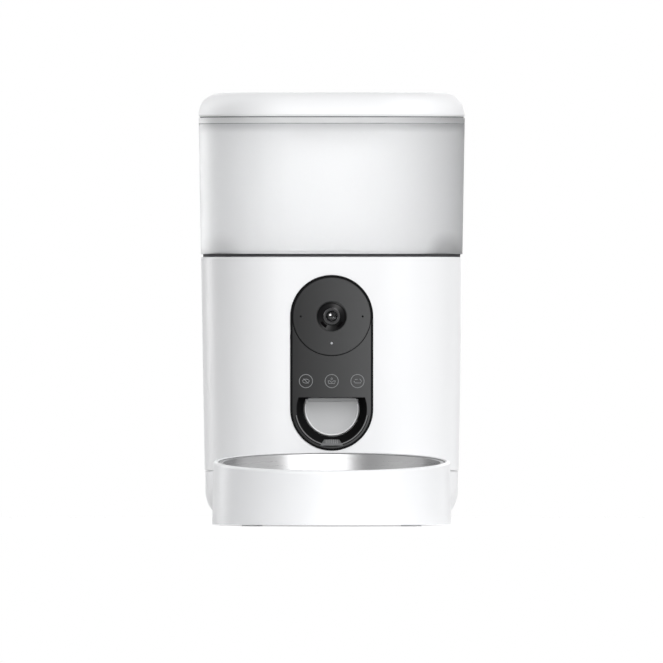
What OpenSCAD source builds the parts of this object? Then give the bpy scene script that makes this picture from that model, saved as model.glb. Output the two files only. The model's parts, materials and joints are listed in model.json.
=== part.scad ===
// Pet feeder with a camera: a food tower with a lift-off hopper and a bowl that stands in front.
// Millimetres, +Z up, the front faces -Y. The origin is the middle of the footprint on the floor.

/* [Tower] */
// Outer width of the tower, taken at floor level
tower_w = 185.4; // [180:0.2:192]
// Outer depth of the tower, taken at floor level
tower_d = 158; // [154:1:164]
// Plan radius of the tower's corners at floor level
corner_r = 58; // [56:1:62]
// Draft of the tower's walls in degrees
draft = 1; // [0.8:0.1:1.2]
// Height of the top of the lid
total_h = 317.4; // [312:0.2:324]
// Height of the seam between the base and the covers
base_h = 39.1; // [38:0.1:41]
// Height of the top edge of the covers
cover_top = 196.7; // [194:0.1:199]
// Wall thickness of the covers and the base
shell_t = 2.4; // [2:0.1:2.8]
// Width of a seam between two housing pieces
seam = 0.6; // [0.4:0.1:0.8]
// Radius of the base's bottom edge
base_fillet = 24; // [20:1:26]
// Distance that the base stands in behind the covers
base_step = 0.5; // [0.3:0.1:0.7]
// Height that the rubber feet lift the housing
foot_h = 1.1; // [0.9:0.1:1.6]

/* [Lid and hopper] */
// Height of the lid over the hopper
lid_h = 17.6; // [16.6:0.1:19]
// Radius of the lid's top edge
lid_fillet = 16; // [14:0.5:16.4]
// Wall thickness of the lid
lid_t = 2.2; // [1.8:0.1:2.6]
// Open line between the lid and the hopper rim
lid_gap = 0.8; // [0.5:0.1:1.2]
// Wall thickness of the hopper
hopper_t = 2.4; // [2:0.1:2.8]
// Dark gap between the hopper and the covers
hopper_gap = 2.2; // [1.6:0.1:2.8]
// Height of the thick band round the hopper's rim
rim_band = 4.4; // [4:0.1:5.4]
// Radius at which the funnel turns steep
funnel_r = 66; // [64:1:68]
// Height at which the funnel turns steep
funnel_z = 176; // [174:1:178]
// Slope of the funnel's outer part in degrees
funnel_slope = 29.5; // [27:0.5:31]
// Radius of the drying agent's box under the lid
dry_r = 32; // [28:1:36]

/* [Portion wheel] */
// Distance of the wheel's axis behind the tower's axis
wheel_y = 10; // [8:1:12]
// Inner radius of the portion cup
cup_r = 46.5; // [45:0.5:48]
// Height of the underside of the portion cup
cup_z = 117; // [116:0.5:118]
// Height of the wheel's vanes
vane_h = 21; // [19:0.5:22]
// Number of vanes
vane_count = 6; // [5:1:8]
// Half angle of the drop hole in degrees
drop_angle = 26; // [22:1:28]

/* [Front panel] */
// End radius of the dark panel
panel_r = 30.35; // [29.5:0.05:31.5]
// Distance between the panel's two end centres
panel_span = 68; // [67:0.5:70]
// Height of the panel's centre
panel_z = 118.95; // [118:0.05:120]
// Height of the panel over the front cover
panel_proud = 1.4; // [1:0.1:1.8]
// Radius of the round camera plate
disc_r = 28.6; // [28:0.1:29]
// Radius of the ring round the lens
ring_r = 10.7; // [10:0.1:11.4]
// Outer radius of the lens barrel
barrel_r = 6; // [5.6:0.1:6.4]
// Radius of the lens glass
glass_r = 4.1; // [3.8:0.1:4.4]
// Distance of each microphone hole from the lens axis
mic_u = 22.7; // [21:0.1:24]
// Distance of the status light below the lens axis
light_v = 19.6; // [18:0.1:21]
// Spacing of the touch keys
key_pitch = 18.9; // [18:0.1:19.5]
// Distance of the touch keys below the panel's centre
key_drop = 13.4; // [13:0.1:14]

/* [Food outlet] */
// Radius of the outlet recess at the panel
outlet_r = 25.5; // [25:0.1:26]
// Radius of the outlet flap
flap_r = 19.7; // [19:0.1:20.2]
// Depth of the outlet recess
outlet_depth = 19; // [18:0.5:20]
// Height of the recess's flat top over the panel's lower end centre
outlet_top = 8.3; // [7.8:0.1:8.8]
// Radius of the flap's pin
flap_pin_r = 1; // [0.8:0.1:1.2]

/* [Drive] */
// Module of the gear teeth
gear_module = 1; // [0.96:0.01:1.04]
// Teeth of the motor pinion and of the idler's small gear
pinion_teeth = 12; // [11:1:13]
// Teeth of the idler's large gear
idler_teeth = 36; // [34:1:38]
// Teeth of the output gear
output_teeth = 40; // [38:1:42]
// Tooth play across each flank pair
backlash = 0.16; // [0.12:0.01:0.2]
// Width across the flats of the drive shaft's hexagon
hex_af = 9; // [8:0.5:10]
// Radius of the motor
motor_r = 12.2; // [11:0.1:13]

/* [Cells] */
// Diameter of one backup cell
cell_d = 34.2; // [33.8:0.1:34.4]
// Length of one backup cell
cell_l = 61.5; // [60.5:0.1:62]

/* [Bowl and tray] */
// Radius of the tray at the floor
tray_r = 87.4; // [85:0.1:90]
// Inward lean of the tray's wall in degrees
tray_lean = 1.5; // [1:0.1:1.8]
// Height of the rim above the tray's axis
rim_z = 47.2; // [46:0.1:49]
// Forward tilt of the rim in degrees
rim_tilt = 4.3; // [3.8:0.1:4.8]
// Gap between the tray's rim and the tower
tray_gap = 4; // [3.6:0.1:5]
// Width of the white rim round the bowl
rim_w = 3.3; // [2.8:0.1:3.8]
// Depth of the bowl
bowl_depth = 30; // [26:0.5:31]
// Sheet thickness of the bowl
bowl_t = 0.8; // [0.6:0.1:1]
// Outward lean of the bowl's wall in degrees
bowl_lean = 9; // [7:0.5:11]

/* [Hidden] */
$fn = 96;
fit = 0.05;
slack = 0.3;
over = 1;
far = 400;
white = [0.94, 0.94, 0.95];
frost = [0.78, 0.8, 0.83];
dark = [0.12, 0.12, 0.13];
smoke = [0.28, 0.29, 0.3];
grey = [0.66, 0.67, 0.68];
steel = [0.75, 0.76, 0.78];
brass = [0.8, 0.66, 0.35];
board_green = [0.12, 0.36, 0.24];
soft_grey = [0.3, 0.3, 0.31];
ivory = [0.9, 0.87, 0.78];

// Tower plan and the heights that stack up from it
corner_x = tower_w / 2 - corner_r;
corner_y = tower_d / 2 - corner_r;
lid_z = total_h - lid_h;
hopper_top = lid_z - lid_gap;
hopper_z = cover_top + hopper_gap;
lip_t = 3;
lip_w = 2.8;
neck_inset = shell_t + lip_w + 2 * slack;
tray_axis = tower_d / 2 + rim_z * tan(draft) + tray_gap + tray_r - rim_z * tan(tray_lean);
lid_back = tower_d / 2 + lid_z * tan(draft);
tower_y = (tray_r + tray_axis - lid_back) / 2;

// Lid underside
rim_t = 4.5;
rim_line = 0.7;
skirt_inset = rim_t + 1.1;
skirt_t = 1.8;
skirt_h = 9;
liner_t = 2.4;
lid_edge_w = 0.7;
lid_edge_h = 1.3;
liner_z = lid_z + fit;
seal_inset = 1;
seal_drop = 3.2;
dry_h = 15;
dry_z = liner_z - fit - dry_h;
dry_wall = 1.8;
dry_slots = 8;
dry_slot_w = 3;
dry_cap_t = 2;
dry_cap_h = 9;

// Wheel and hopper neck
cup_t = 2.4;
cup_floor = cup_z + cup_t;
cup_h = 33;
cup_top = cup_z + cup_h;
neck_r = cup_r - slack;
neck_z = cup_top - 6;
wheel_z = cup_floor + 2 * slack;
hub_r = 12;
tip_l = 3;
tip_t = 1.2;
vane_t = 2.6;
hub_shoulder = 2;
hub_rise = 12;
vane_r = cup_r - slack - tip_l;
socket_h = 12;
stir_r = 3;
stir_top = 26;
baffle_t = 1.6;

// Deck that carries the works
deck_t = 3;
deck_top = cup_z - over;
deck_z = deck_top - deck_t;
deck_inset = shell_t + 2 * slack;
post_r = 5;
post_x = corner_x + 31;
post_y = corner_y + 29;
boss_top = base_h + 1.4;
screw_r = 1.3;
screw_head_r = 3;
screw_head_h = 2.4;
screw_l = 18;

// Front panel, in the plane of the front cover
lens_v = panel_span / 2;
outlet_v = -panel_span / 2;
face_w = panel_proud - 0.15;
plate_t = 1.5;
plate_w = face_w - plate_t;
pocket_r = panel_r - 1.5;
bezel_back = -5;
flange_r = panel_r + 2;
lid_of_outlet = outlet_v + outlet_top;
throat_w = plate_w - 0.1;
throat_t = 1.6;
throat_rise = (outlet_r - flap_r - 0.9) / outlet_depth;
pin_v = lid_of_outlet - 1.6;
pin_w = throat_w - outlet_depth - 2.4;
flap_t = 1.6;
flap_barrel_r = 1.8;
flap_corner = 1.5;
flap_ease = 2.3;
seat_w = pin_w - flap_t / 2 - 0.4;
seat_t = 2;
ear_u = flap_r + 1.4;
ear_t = 2.4;
lip_w_top = 11.3;
lip_w_low = 17.2;
lens_board_w = -16;
lens_board = 34;
lens_boss = 14;
board_t = 1.6;
key_board_w = 52;
key_board_h = 12;
key_board_t = 1.2;
light_r = 0.8;
window_angles = [225, 315];
window_span = 36;
window_w = 0.5 * (ring_r - barrel_r) - 0.15;
window_r = (ring_r + barrel_r) / 2 - 0.05;

// Chute in the tower's side view
chute_half = 20;
chute_t = 2.2;
chute_back_y = -4;
chute_front_y = -36;
chute_exit_y = -tower_d / 2 - (panel_z + outlet_v) * tan(draft) - seat_w + 0.6;
chute_low_z = panel_z + outlet_v - flap_r + 1.2;
chute_high_z = panel_z + lid_of_outlet - 4.5;

// Gear train
mesh_1 = gear_module * (output_teeth + pinion_teeth) / 2;
mesh_2 = gear_module * (idler_teeth + pinion_teeth) / 2;
turn_1 = 40;
turn_2 = 20;
idler_x = mesh_1 * cos(turn_1);
idler_y = wheel_y + mesh_1 * sin(turn_1);
motor_x = idler_x + mesh_2 * cos(turn_2);
motor_y = idler_y + mesh_2 * sin(turn_2);
case_t = 2;
case_z = 74;
case_h = 20;
gear_z = case_z + case_t + 0.5;
gear_w = 5.5;
gear_2_z = gear_z + gear_w + 0.6;
cover_z = case_z + case_h - case_t;
idler_pin_r = 1.5;
shaft_r = 5;
bush_r = 7.5;
motor_l = 29;
motor_shaft_r = 1.2;
output_r = gear_module * output_teeth / 2;
idler_r = gear_module * idler_teeth / 2;
pinion_r = gear_module * pinion_teeth / 2;
tooth_room = 2;
post_back = 4;
cover_post_r = 3.5;

// Cell bay in the base
cell_clear = 0.6;
bay_y = 18;
contact_l = 2.3;
bay_w = 3 * cell_d + 2 * cell_clear;
bay_l = cell_l + 2 * contact_l;
bay_wall = 2;
door_t = 2.2;
knuckle_r = 0.95;
knuckle_l = 10;
knuckle_x = 26;
door_pin_r = 0.5;
latch_w = 12;
latch_h = 4;
door_hinge_y = bay_y + bay_l / 2 - slack;
cell_z = foot_h + door_t + cell_clear + cell_d / 2;
bay_top = cell_z + cell_d / 2 + cell_clear;
foot_r = 6;
foot_in = 1.3;

// Rear housing fittings
board_depth = 12.6;
board_y = tower_d / 2 - board_depth;
board_w = 64;
board_low = 46;
board_high = 108;
port_z = 53;
port_w = 9;
port_h = 3.2;
button_r = 2.6;
button_x = 22;
button_z = 64;
button_travel = 1;
button_stem = 6.5;
collar_t = 1.8;
collar_w = 1.2;
speaker_r = 19;
speaker_z = 141;
speaker_depth = 13;
speaker_y = tower_d / 2 - speaker_depth;

// Tray and bowl
tray_top_r = tray_r - rim_z * tan(tray_lean);
well_r = tray_top_r - rim_w;
ledge_w = 2.5;
ledge_drop = 2;
rim_round = 2.4;
rim_ease = 0.6;
rim_spare = 0.35;
ledge_h = 6;
tray_t = 3;
bowl_rim_r = well_r - slack;
bowl_r = well_r - ledge_w - slack;
bowl_fillet = 14;
bowl_bead = 0.5;
bowl_top = bowl_t + fit - ledge_drop;
bridge_w = 116;
bridge_h = 32;
bridge_round = 12;
bridge_back = 45;
tongue_w = 60;
tongue_z = 3;
tongue_h = 6;
tongue_l = 24;
tray_floor_t = 2.4;
strip_x = 58;
strip_w = 15;
strip_l = 90;
strip_in = 0.9;

// Distance of the tower's outside from a corner axis at height z
function wall_r(z) = corner_r + z * tan(draft);

// Sweeps a section, drawn as distance from the corner axis against height, round the tower
module round_tower() {
    for (turn = [0, 180]) rotate([0, 0, turn]) {
        translate([corner_x, corner_y, 0]) rotate_extrude(angle = 90) children();
        translate([-corner_x, corner_y, 0]) rotate([0, 0, 90]) rotate_extrude(angle = 90) children();
        translate([-corner_x, corner_y, 0]) rotate([90, 0, 90]) linear_extrude(2 * corner_x) children();
        translate([corner_x, corner_y, 0]) rotate([90, 0, 0]) linear_extrude(2 * corner_y) children();
    }
}

// Fills the middle that a swept section leaves open
module tower_core(z0, z1) {
    translate([-corner_x, -corner_y, z0]) cube([2 * corner_x, 2 * corner_y, z1 - z0]);
}

// Solid tower between two heights, its wall set in by a distance
module tower_block(z0, z1, inset) {
    r0 = wall_r(z0) - inset;
    r1 = wall_r(z1) - inset;
    round_tower() polygon([[0, z0], [r0, z0], [r1, z1], [0, z1]]);
    tower_core(z0, z1);
}

// Wall of the tower between two heights
module tower_wall(z0, z1, inset, t) {
    r0 = wall_r(z0) - inset;
    r1 = wall_r(z1) - inset;
    round_tower() polygon([[r0 - t, z0], [r0, z0], [r1, z1], [r1 - t, z1]]);
}

// Section with a rounded top edge
module lid_section(r, z0, z1, fillet) {
    intersection() {
        union() {
            translate([0, z0]) square([r, z1 - fillet - z0]);
            translate([0, z0]) square([r - fillet, z1 - z0]);
            translate([r - fillet, z1 - fillet]) circle(fillet);
        }
        translate([0, z0]) square([r, z1 - z0]);
    }
}

// Section with a rounded bottom edge
module pan_section(r, z0, z1, fillet) {
    intersection() {
        union() {
            translate([0, z0 + fillet]) square([r, z1 - z0 - fillet]);
            translate([0, z0]) square([r - fillet, z1 - z0]);
            translate([r - fillet, z0 + fillet]) circle(fillet);
        }
        translate([0, z0]) square([r, z1 - z0]);
    }
}

// Stadium outline of the panel
module stadium(r) {
    for (v = [lens_v, outlet_v]) translate([0, v]) circle(r);
    square([2 * r, panel_span], center = true);
}

// Outline of the outlet: a circle cut off flat at its top
module outlet_outline(r, top) {
    intersection() {
        translate([0, outlet_v]) circle(r);
        translate([-2 * r, outlet_v - 2 * r]) square([4 * r, top + 2 * r]);
    }
}

// Repeats children at four corners
module at_corners(x, y) {
    for (i = [-1, 1], j = [-1, 1]) translate([i * x, j * y, 0]) children();
}

// Places children in the plane of the front cover: x right, y up, z outward
module on_panel() {
    translate([0, -tower_d / 2 - panel_z * tan(draft), panel_z]) rotate([90 + draft, 0, 0]) children();
}

// Extrudes an outline of the panel between two depths
module panel_slab(w0, w1) {
    translate([0, 0, w0]) linear_extrude(w1 - w0) children();
}

// Places children on the rim of the tray, tilted to the front
module on_rim() {
    translate([0, 0, rim_z]) rotate([rim_tilt, 0, 0]) children();
}

// Everything under the tray's rim, lowered by a drop
module under_rim(drop) {
    on_rim() translate([-far / 2, -far / 2, -drop - far]) cube([far, far, far]);
}

// Involute flank point at radius r of a gear whose base circle is b
function flank_angle(r, b) = r <= b ? 0 : (sqrt(r * r / (b * b) - 1) * 180 / PI - acos(b / r));

// One spur gear; a tooth stands on the +X axis
module spur(teeth, width) {
    pressure = 25;
    pitch = gear_module * teeth / 2;
    base = pitch * cos(pressure);
    tip = pitch + 0.8 * gear_module;
    root = pitch - 1.1 * gear_module;
    half = 90 / teeth - backlash / 2 / pitch * 180 / PI + flank_angle(pitch, base);
    steps = [base, base + (tip - base) / 2, tip];
    linear_extrude(width) polygon([
        for (i = [0:teeth - 1], side = [-1, 1], k = [0:3])
            let (j = side < 0 ? k : 3 - k, r = j == 0 ? root : steps[j - 1])
            let (a = 360 / teeth * i + side * (half - flank_angle(r, base)))
            [r * cos(a), r * sin(a)]
    ]);
}

// Lid

module lid_solid(r, z0, z1, fillet) {
    round_tower() lid_section(r, z0, z1, fillet);
    tower_core(z0, z1);
}

module lid_cover() color(white) difference() {
    lid_solid(wall_r(lid_z), lid_z, total_h, lid_fillet);
    lid_solid(wall_r(lid_z) - lid_t, lid_z - over, total_h - lid_t, lid_fillet - lid_t);
    lid_edge_cut(wall_r(lid_z));
}

// Slanted cut along the lid's lower outer edge
module lid_edge_cut(r) {
    steep = lid_edge_h / lid_edge_w;
    round_tower() polygon([
        [r - lid_edge_w - over / steep, lid_z - over], [r + over, lid_z - over],
        [r + over, lid_z + lid_edge_h + over * steep]
    ]);
}

module lid_liner() color(white) difference() {
    union() {
        tower_block(liner_z, liner_z + liner_t, lid_t + 2 * fit);
        tower_wall(hopper_top - skirt_h, liner_z + over, skirt_inset, skirt_t);
    }
    translate([0, 0, liner_z - over]) cylinder(h = liner_t + 2 * over, r = dry_r - 2 * dry_wall);
}

module lid_seal() color(soft_grey) {
    reach = skirt_inset - fit;
    tower_wall(hopper_top + fit, lid_z - fit, seal_inset, reach - seal_inset);
    tower_wall(hopper_top - seal_drop, lid_z - fit, rim_t + slack / 2, reach - rim_t - slack / 2);
}

module dry_box() color(white) difference() {
    union() {
        translate([0, 0, dry_z]) cylinder(h = dry_h, r = dry_r);
        translate([0, 0, liner_z + liner_t]) cylinder(h = dry_wall, r = dry_r);
        translate([0, 0, dry_z]) cylinder(h = dry_h + liner_t + over, r = dry_r - 2 * dry_wall - slack);
    }
    translate([0, 0, dry_z - over]) cylinder(h = dry_h + over + liner_t, r = dry_r - 3 * dry_wall);
}

module dry_cap() color(grey) difference() {
    translate([0, 0, dry_z - dry_cap_t - fit]) cylinder(h = dry_cap_h, r = dry_r + slack + dry_wall);
    translate([0, 0, dry_z - fit]) cylinder(h = dry_cap_h, r = dry_r + slack);
    for (i = [0:dry_slots - 1]) rotate([0, 0, 360 / dry_slots * i])
        translate([dry_r / 4, -dry_slot_w / 2, dry_z - dry_cap_t - over])
            cube([dry_r * 0.55, dry_slot_w, 2 * dry_cap_t]);
}

// Hopper

// Room above the funnel's sheet, raised by a lift and narrowed by an inset at the neck
module funnel_room(lift, inset) {
    neck = neck_r - inset;
    steep = (funnel_z - cup_top) / (funnel_r - neck_r);
    reach = tower_w;
    translate([0, wheel_y, 0]) rotate_extrude() polygon([
        [0, neck_z - over], [neck, neck_z - over], [neck, cup_top + lift - inset * steep],
        [funnel_r, funnel_z + lift], [reach, funnel_z + lift + (reach - funnel_r) * tan(funnel_slope)],
        [reach, far], [0, far]
    ]);
}

module hopper_tank() color(frost) difference() {
    intersection() {
        union() {
            tower_block(hopper_z, hopper_top, 0);
            tower_block(neck_z, hopper_z, neck_inset);
        }
        funnel_room(0, 0);
    }
    intersection() {
        union() {
            tower_block(hopper_z + hopper_t, hopper_top - rim_band, hopper_t);
            tower_block(hopper_top - rim_band, hopper_top + over, rim_t);
            tower_block(neck_z - over, hopper_z + hopper_t, neck_inset + hopper_t);
        }
        funnel_room(1.3 * hopper_t, hopper_t);
    }
    translate([0, 0, -rim_line / 2])
        tower_wall(hopper_top - rim_band, hopper_top - rim_band + rim_line, -over, over + rim_line);
}

module portion_cup() color(white) translate([0, wheel_y, 0]) difference() {
    translate([0, 0, cup_z]) cylinder(h = cup_top - cup_z - slack, r = cup_r + cup_t);
    translate([0, 0, cup_floor]) cylinder(h = far, r = cup_r);
    translate([0, 0, cup_z - over]) cylinder(h = cup_t + 2 * over, r = hub_r - 3.5);
    drop_sector(cup_z - over, cup_floor + over, vane_r);
}

// Sector under the wheel through which the food falls
module drop_sector(z0, z1, r) {
    translate([0, 0, z0]) rotate([0, 0, -90 - drop_angle]) rotate_extrude(angle = 2 * drop_angle)
        translate([hub_r + 4, 0]) square([r - hub_r - 4, z1 - z0]);
}

module drop_baffle() color(grey) translate([0, wheel_y, wheel_z + vane_h + slack])
    rotate([0, 0, -90 - 1.5 * drop_angle]) rotate_extrude(angle = 3 * drop_angle)
        translate([hub_r + 2, 0]) square([neck_r - hopper_t - fit - hub_r - 2, baffle_t]);

module portion_wheel() color(ivory) translate([0, wheel_y, wheel_z]) difference() {
    union() {
        rotate_extrude() polygon([
            [0, 0], [hub_r, 0], [hub_r, vane_h + hub_shoulder],
            [stir_r + 2, vane_h + hub_rise], [0, vane_h + hub_rise]
        ]);
        for (i = [0:vane_count - 1]) rotate([0, 0, 360 / vane_count * i])
            translate([hub_r - 2, -vane_t / 2, 0]) cube([vane_r - hub_r + 2, vane_t, vane_h]);
    }
    translate([0, 0, -over]) rotate([0, 0, 30])
        cylinder(h = socket_h + over, r = (hex_af / 2 + slack) / cos(30), $fn = 6);
    for (i = [0:vane_count - 1]) rotate([0, 0, 360 / vane_count * i])
        translate([vane_r - tip_l, -tip_t / 2 - fit, -over]) cube([tip_l + over, tip_t + 2 * fit, far]);
}

module vane_tips() color(soft_grey) translate([0, wheel_y, wheel_z])
    for (i = [0:vane_count - 1]) rotate([0, 0, 360 / vane_count * i])
        translate([vane_r - tip_l + fit, -tip_t / 2, 0]) cube([2 * tip_l - fit, tip_t, vane_h]);

module stirrer() color(steel) translate([0, wheel_y, wheel_z + vane_h + hub_rise + fit]) {
    cylinder(h = stir_top, r = stir_r);
    for (side = [0, 180]) rotate([0, 0, side]) translate([0, 0, stir_top - 4 + side / 30])
        rotate([0, 90, 0]) cylinder(h = 26, r = 1.8);
    translate([0, 0, stir_top]) sphere(stir_r);
}

// Covers

// Side view of the front cover, with its upper rear corner rounded
module front_side_view(shift) {
    top_y = -corner_y - 13.5 + shift;
    low_y = -corner_y + 8.5 + shift;
    corner = 6;
    intersection() {
        polygon([[-far, 0], [low_y, 0], [low_y, base_h], [top_y, cover_top], [top_y, far], [-far, far]]);
        union() {
            translate([-far, 0]) square([far + top_y - corner, cover_top]);
            translate([-far, 0]) square([2 * far, cover_top - corner]);
            translate([top_y - corner, cover_top - corner]) circle(corner);
        }
    }
}

// Extrudes a side view across the tower
module across(half) {
    translate([-half, 0, 0]) rotate([90, 0, 90]) linear_extrude(2 * half) children();
}

module cover_wall() {
    edge = 1;
    r0 = wall_r(base_h + seam);
    r1 = wall_r(cover_top);
    round_tower() polygon([
        [r0 - shell_t, base_h + seam], [r0 - edge / 2, base_h + seam], [r0, base_h + seam + edge / 2],
        [r1, cover_top - edge],
        [r1 - edge * 0.3, cover_top - edge * 0.3], [r1 - edge, cover_top],
        [r1 - shell_t - lip_w, cover_top], [r1 - shell_t - lip_w, cover_top - lip_t],
        [r1 - shell_t, cover_top - lip_t - lip_w]
    ]);
}

module front_cover() color(white) difference() {
    intersection() {
        cover_wall();
        across(tower_w) front_side_view(0);
    }
    on_panel() panel_slab(bezel_back - 5, 5) stadium(panel_r + 0.1);
}

module rear_housing() color(white) difference() {
    union() {
        difference() {
            cover_wall();
            across(tower_w) front_side_view(seam);
        }
        for (x = [-1, 1], z = [board_low + 6, board_high - 6])
            translate([x * (board_w / 2 - 6), board_y + board_t + fit, z]) rotate([-90, 0, 0])
                cylinder(h = tower_d / 2 - board_y - board_t, r = 3);
        translate([0, speaker_y + 4, speaker_z]) rotate([-90, 0, 0])
            cylinder(h = tower_d / 2 + 1.4 - speaker_y - 4, r = speaker_r + 2);
    }
    translate([0, speaker_y, speaker_z]) rotate([-90, 0, 0])
        cylinder(h = tower_d / 2 - 0.4 - speaker_y, r = speaker_r + slack / 2);
    for (ring = [0:3], i = [0:max(6 * ring - 1, 0)])
        translate([0, tower_d / 2 - over, speaker_z]) rotate([0, ring ? 60 / ring * i : 0, 0])
            translate([4 * ring, 0, 0]) rotate([-90, 0, 0]) cylinder(h = 10, r = 1.1);
    translate([0, tower_d / 2 - 6, port_z]) rotate([-90, 0, 0]) linear_extrude(12)
        port_outline(slack);
    translate([button_x, tower_d / 2 - 6, button_z]) rotate([-90, 0, 0])
        cylinder(h = 12, r = button_r + slack);
}

// Outline of the power port: flat with round ends
module port_outline(grow) {
    square([port_w - port_h, port_h + 2 * grow], center = true);
    for (side = [-1, 1]) translate([side * (port_w - port_h) / 2, 0]) circle(port_h / 2 + grow);
}

module pan_solid(inset, z0, z1) {
    round_tower() pan_section(wall_r(base_h) - base_step - inset, z0, z1, base_fillet - inset);
    tower_core(z0, z1);
}

module base_pan() color(white) difference() {
    union() {
        base_body();
        hinge_rods(knuckle_r, knuckle_l, knuckle_x + knuckle_l + slack);
    }
    hinge_rods(door_pin_r + fit, bay_w, 0);
}

// Base with its cell bay, before the door's hinge is added
module base_body() difference() {
    union() {
        difference() {
            pan_solid(0, foot_h, base_h);
            pan_solid(shell_t, foot_h + shell_t, base_h + over);
        }
        tower_wall(base_h - 5, base_h + 3, shell_t + fit, 1.8);
        tower_wall(base_h - 5, base_h - 3, shell_t - 0.4, 2.2);
        intersection() {
            pan_solid(fit, foot_h, base_h + over);
            union() {
                at_corners(post_x, post_y) cylinder(h = base_h, r = post_r + 0.8);
                translate([-tongue_w / 2 - 3, -tower_d / 2, foot_h])
                    cube([tongue_w + 6, tongue_l + 14, tongue_z + tongue_h + 3 - foot_h]);
            }
        }
        at_corners(post_x, post_y) translate([0, 0, base_h - over])
            cylinder(h = boss_top - base_h + over, r = post_r + 0.8);
        translate([-bay_w / 2 - bay_wall, bay_y - bay_l / 2 - bay_wall, foot_h])
            cube([bay_w + 2 * bay_wall, bay_l + 2 * bay_wall, bay_top + bay_wall - foot_h]);
    }
    translate([-bay_w / 2, bay_y - bay_l / 2, foot_h - over]) cube([bay_w, bay_l, bay_top - foot_h + over]);
    translate([-tongue_w / 2 - slack, -tower_d, tongue_z - slack])
        cube([tongue_w + 2 * slack, tower_d / 2 + tongue_l + 10, tongue_h + 2 * slack]);
    at_corners(post_x, post_y) {
        translate([0, 0, -over]) cylinder(h = boss_top - 6 + over, r = screw_head_r + 0.4);
        cylinder(h = far, r = screw_r + 0.3);
    }
    foot_places() cylinder(h = foot_h + foot_in, r = foot_r + fit);
    hinge_rods(knuckle_r + slack, knuckle_l + 2 * slack, knuckle_x);
}

module foot_places() {
    for (x = [-1, 1]) {
        translate([x * (corner_x + 10), -corner_y - 23, 0]) children();
        translate([x * (corner_x + 26.3), corner_y + 9, 0]) children();
    }
}

module base_feet() color(soft_grey) foot_places() cylinder(h = foot_h + foot_in - fit, r = foot_r);

module hopper_gasket() color(dark) tower_wall(cover_top + fit, hopper_z - fit, 1.6, shell_t + lip_w - 2);

module inner_deck() color(grey) difference() {
    union() {
        tower_block(deck_z, deck_top, deck_inset);
        at_corners(post_x, post_y) translate([0, 0, boss_top + fit])
            cylinder(h = deck_z - boss_top, r = post_r);
    }
    at_corners(post_x, post_y) translate([0, 0, boss_top - over])
        cylinder(h = screw_l + 4, r = screw_r + fit);
    translate([0, wheel_y, deck_z - over]) cylinder(h = far, r = bush_r + fit);
    translate([0, wheel_y, 0]) drop_sector(deck_z - over, deck_top + over, vane_r + 1);
    on_panel() panel_slab(lens_board_w - 6, 3) stadium(flange_r + 1);
}

module deck_screws() color(steel) at_corners(post_x, post_y) translate([0, 0, boss_top - 6]) {
    translate([0, 0, -screw_head_h - fit]) cylinder(h = screw_head_h, r = screw_head_r);
    translate([0, 0, -screw_head_h]) cylinder(h = screw_l, r = screw_r);
}

// Food way

// Side view of the food way inside the chute
module chute_view(grow) {
    polygon([
        [chute_back_y + grow, deck_z], [chute_back_y + grow, deck_z - 6 - grow],
        [chute_exit_y - over, chute_low_z - grow], [chute_exit_y - over, chute_high_z + grow],
        [chute_front_y - grow, deck_z - 3 + grow], [chute_front_y - grow, deck_z]
    ]);
}

module chute() color(grey) difference() {
    union() {
        intersection() {
            across(chute_half + chute_t) chute_view(chute_t);
            translate([-far / 2, chute_exit_y, 0]) cube([far, far, deck_z - fit]);
        }
        on_panel() panel_slab(seat_w - seat_t, seat_w) intersection() {
            translate([0, outlet_v]) circle(flap_r + 1.2);
            translate([-far / 2, outlet_v - far]) square([far, far + outlet_top - 4]);
        }
        for (x = [-1, 1]) translate([x * (chute_half + 5) - 5, chute_front_y, deck_z - 3 - fit])
            cube([10, chute_back_y - chute_front_y, 3]);
    }
    across(chute_half) intersection() {
        chute_view(0);
        translate([chute_exit_y + seat_t + 0.4, 0]) square([far, far]);
    }
    translate([-chute_half, chute_front_y, deck_z - 3])
        cube([2 * chute_half, chute_back_y - chute_front_y, 6]);
    on_panel() panel_slab(seat_w - 2 * seat_t - 2, seat_w + over)
        outlet_outline(flap_r - 1.4, outlet_top - 6);
}

// Notch for the lip under the flap, seen from the front
module lip_outline(grow, deep) {
    top = outlet_v - flap_r - 2.7 + grow;
    low = outlet_v - outlet_r - 1.3 - grow;
    half_top = lip_w_top / 2 + grow;
    half_low = lip_w_low / 2 + grow;
    polygon([[-half_low, low], [half_low, low], [half_top, top], [-half_top, top]]);
    translate([-half_low, low - deep]) square([2 * half_low, deep]);
}

module outlet_lip() color(grey) on_panel() intersection() {
    panel_slab(throat_w - 15, panel_proud + 0.4) lip_outline(-0.2, fit);
    translate([-far / 2, 0, 0]) rotate([90, 0, 90]) linear_extrude(far) polygon([
        [outlet_v - flap_r - 1.6, throat_w - 16], [outlet_v - outlet_r + 0.4, panel_proud + 0.3],
        [outlet_v - outlet_r - 1.8, panel_proud + 0.3], [outlet_v - flap_r - 4.2, throat_w - 16]
    ]);
}

module throat_cone(grow) {
    translate([0, outlet_v, throat_w - outlet_depth])
        cylinder(h = outlet_depth, r1 = flap_r + 0.9 + grow, r2 = outlet_r + grow);
}

// Room under a level across the panel
module below(level) {
    translate([-far / 2, level - far, -far / 2]) cube([far, far, far]);
}

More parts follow.
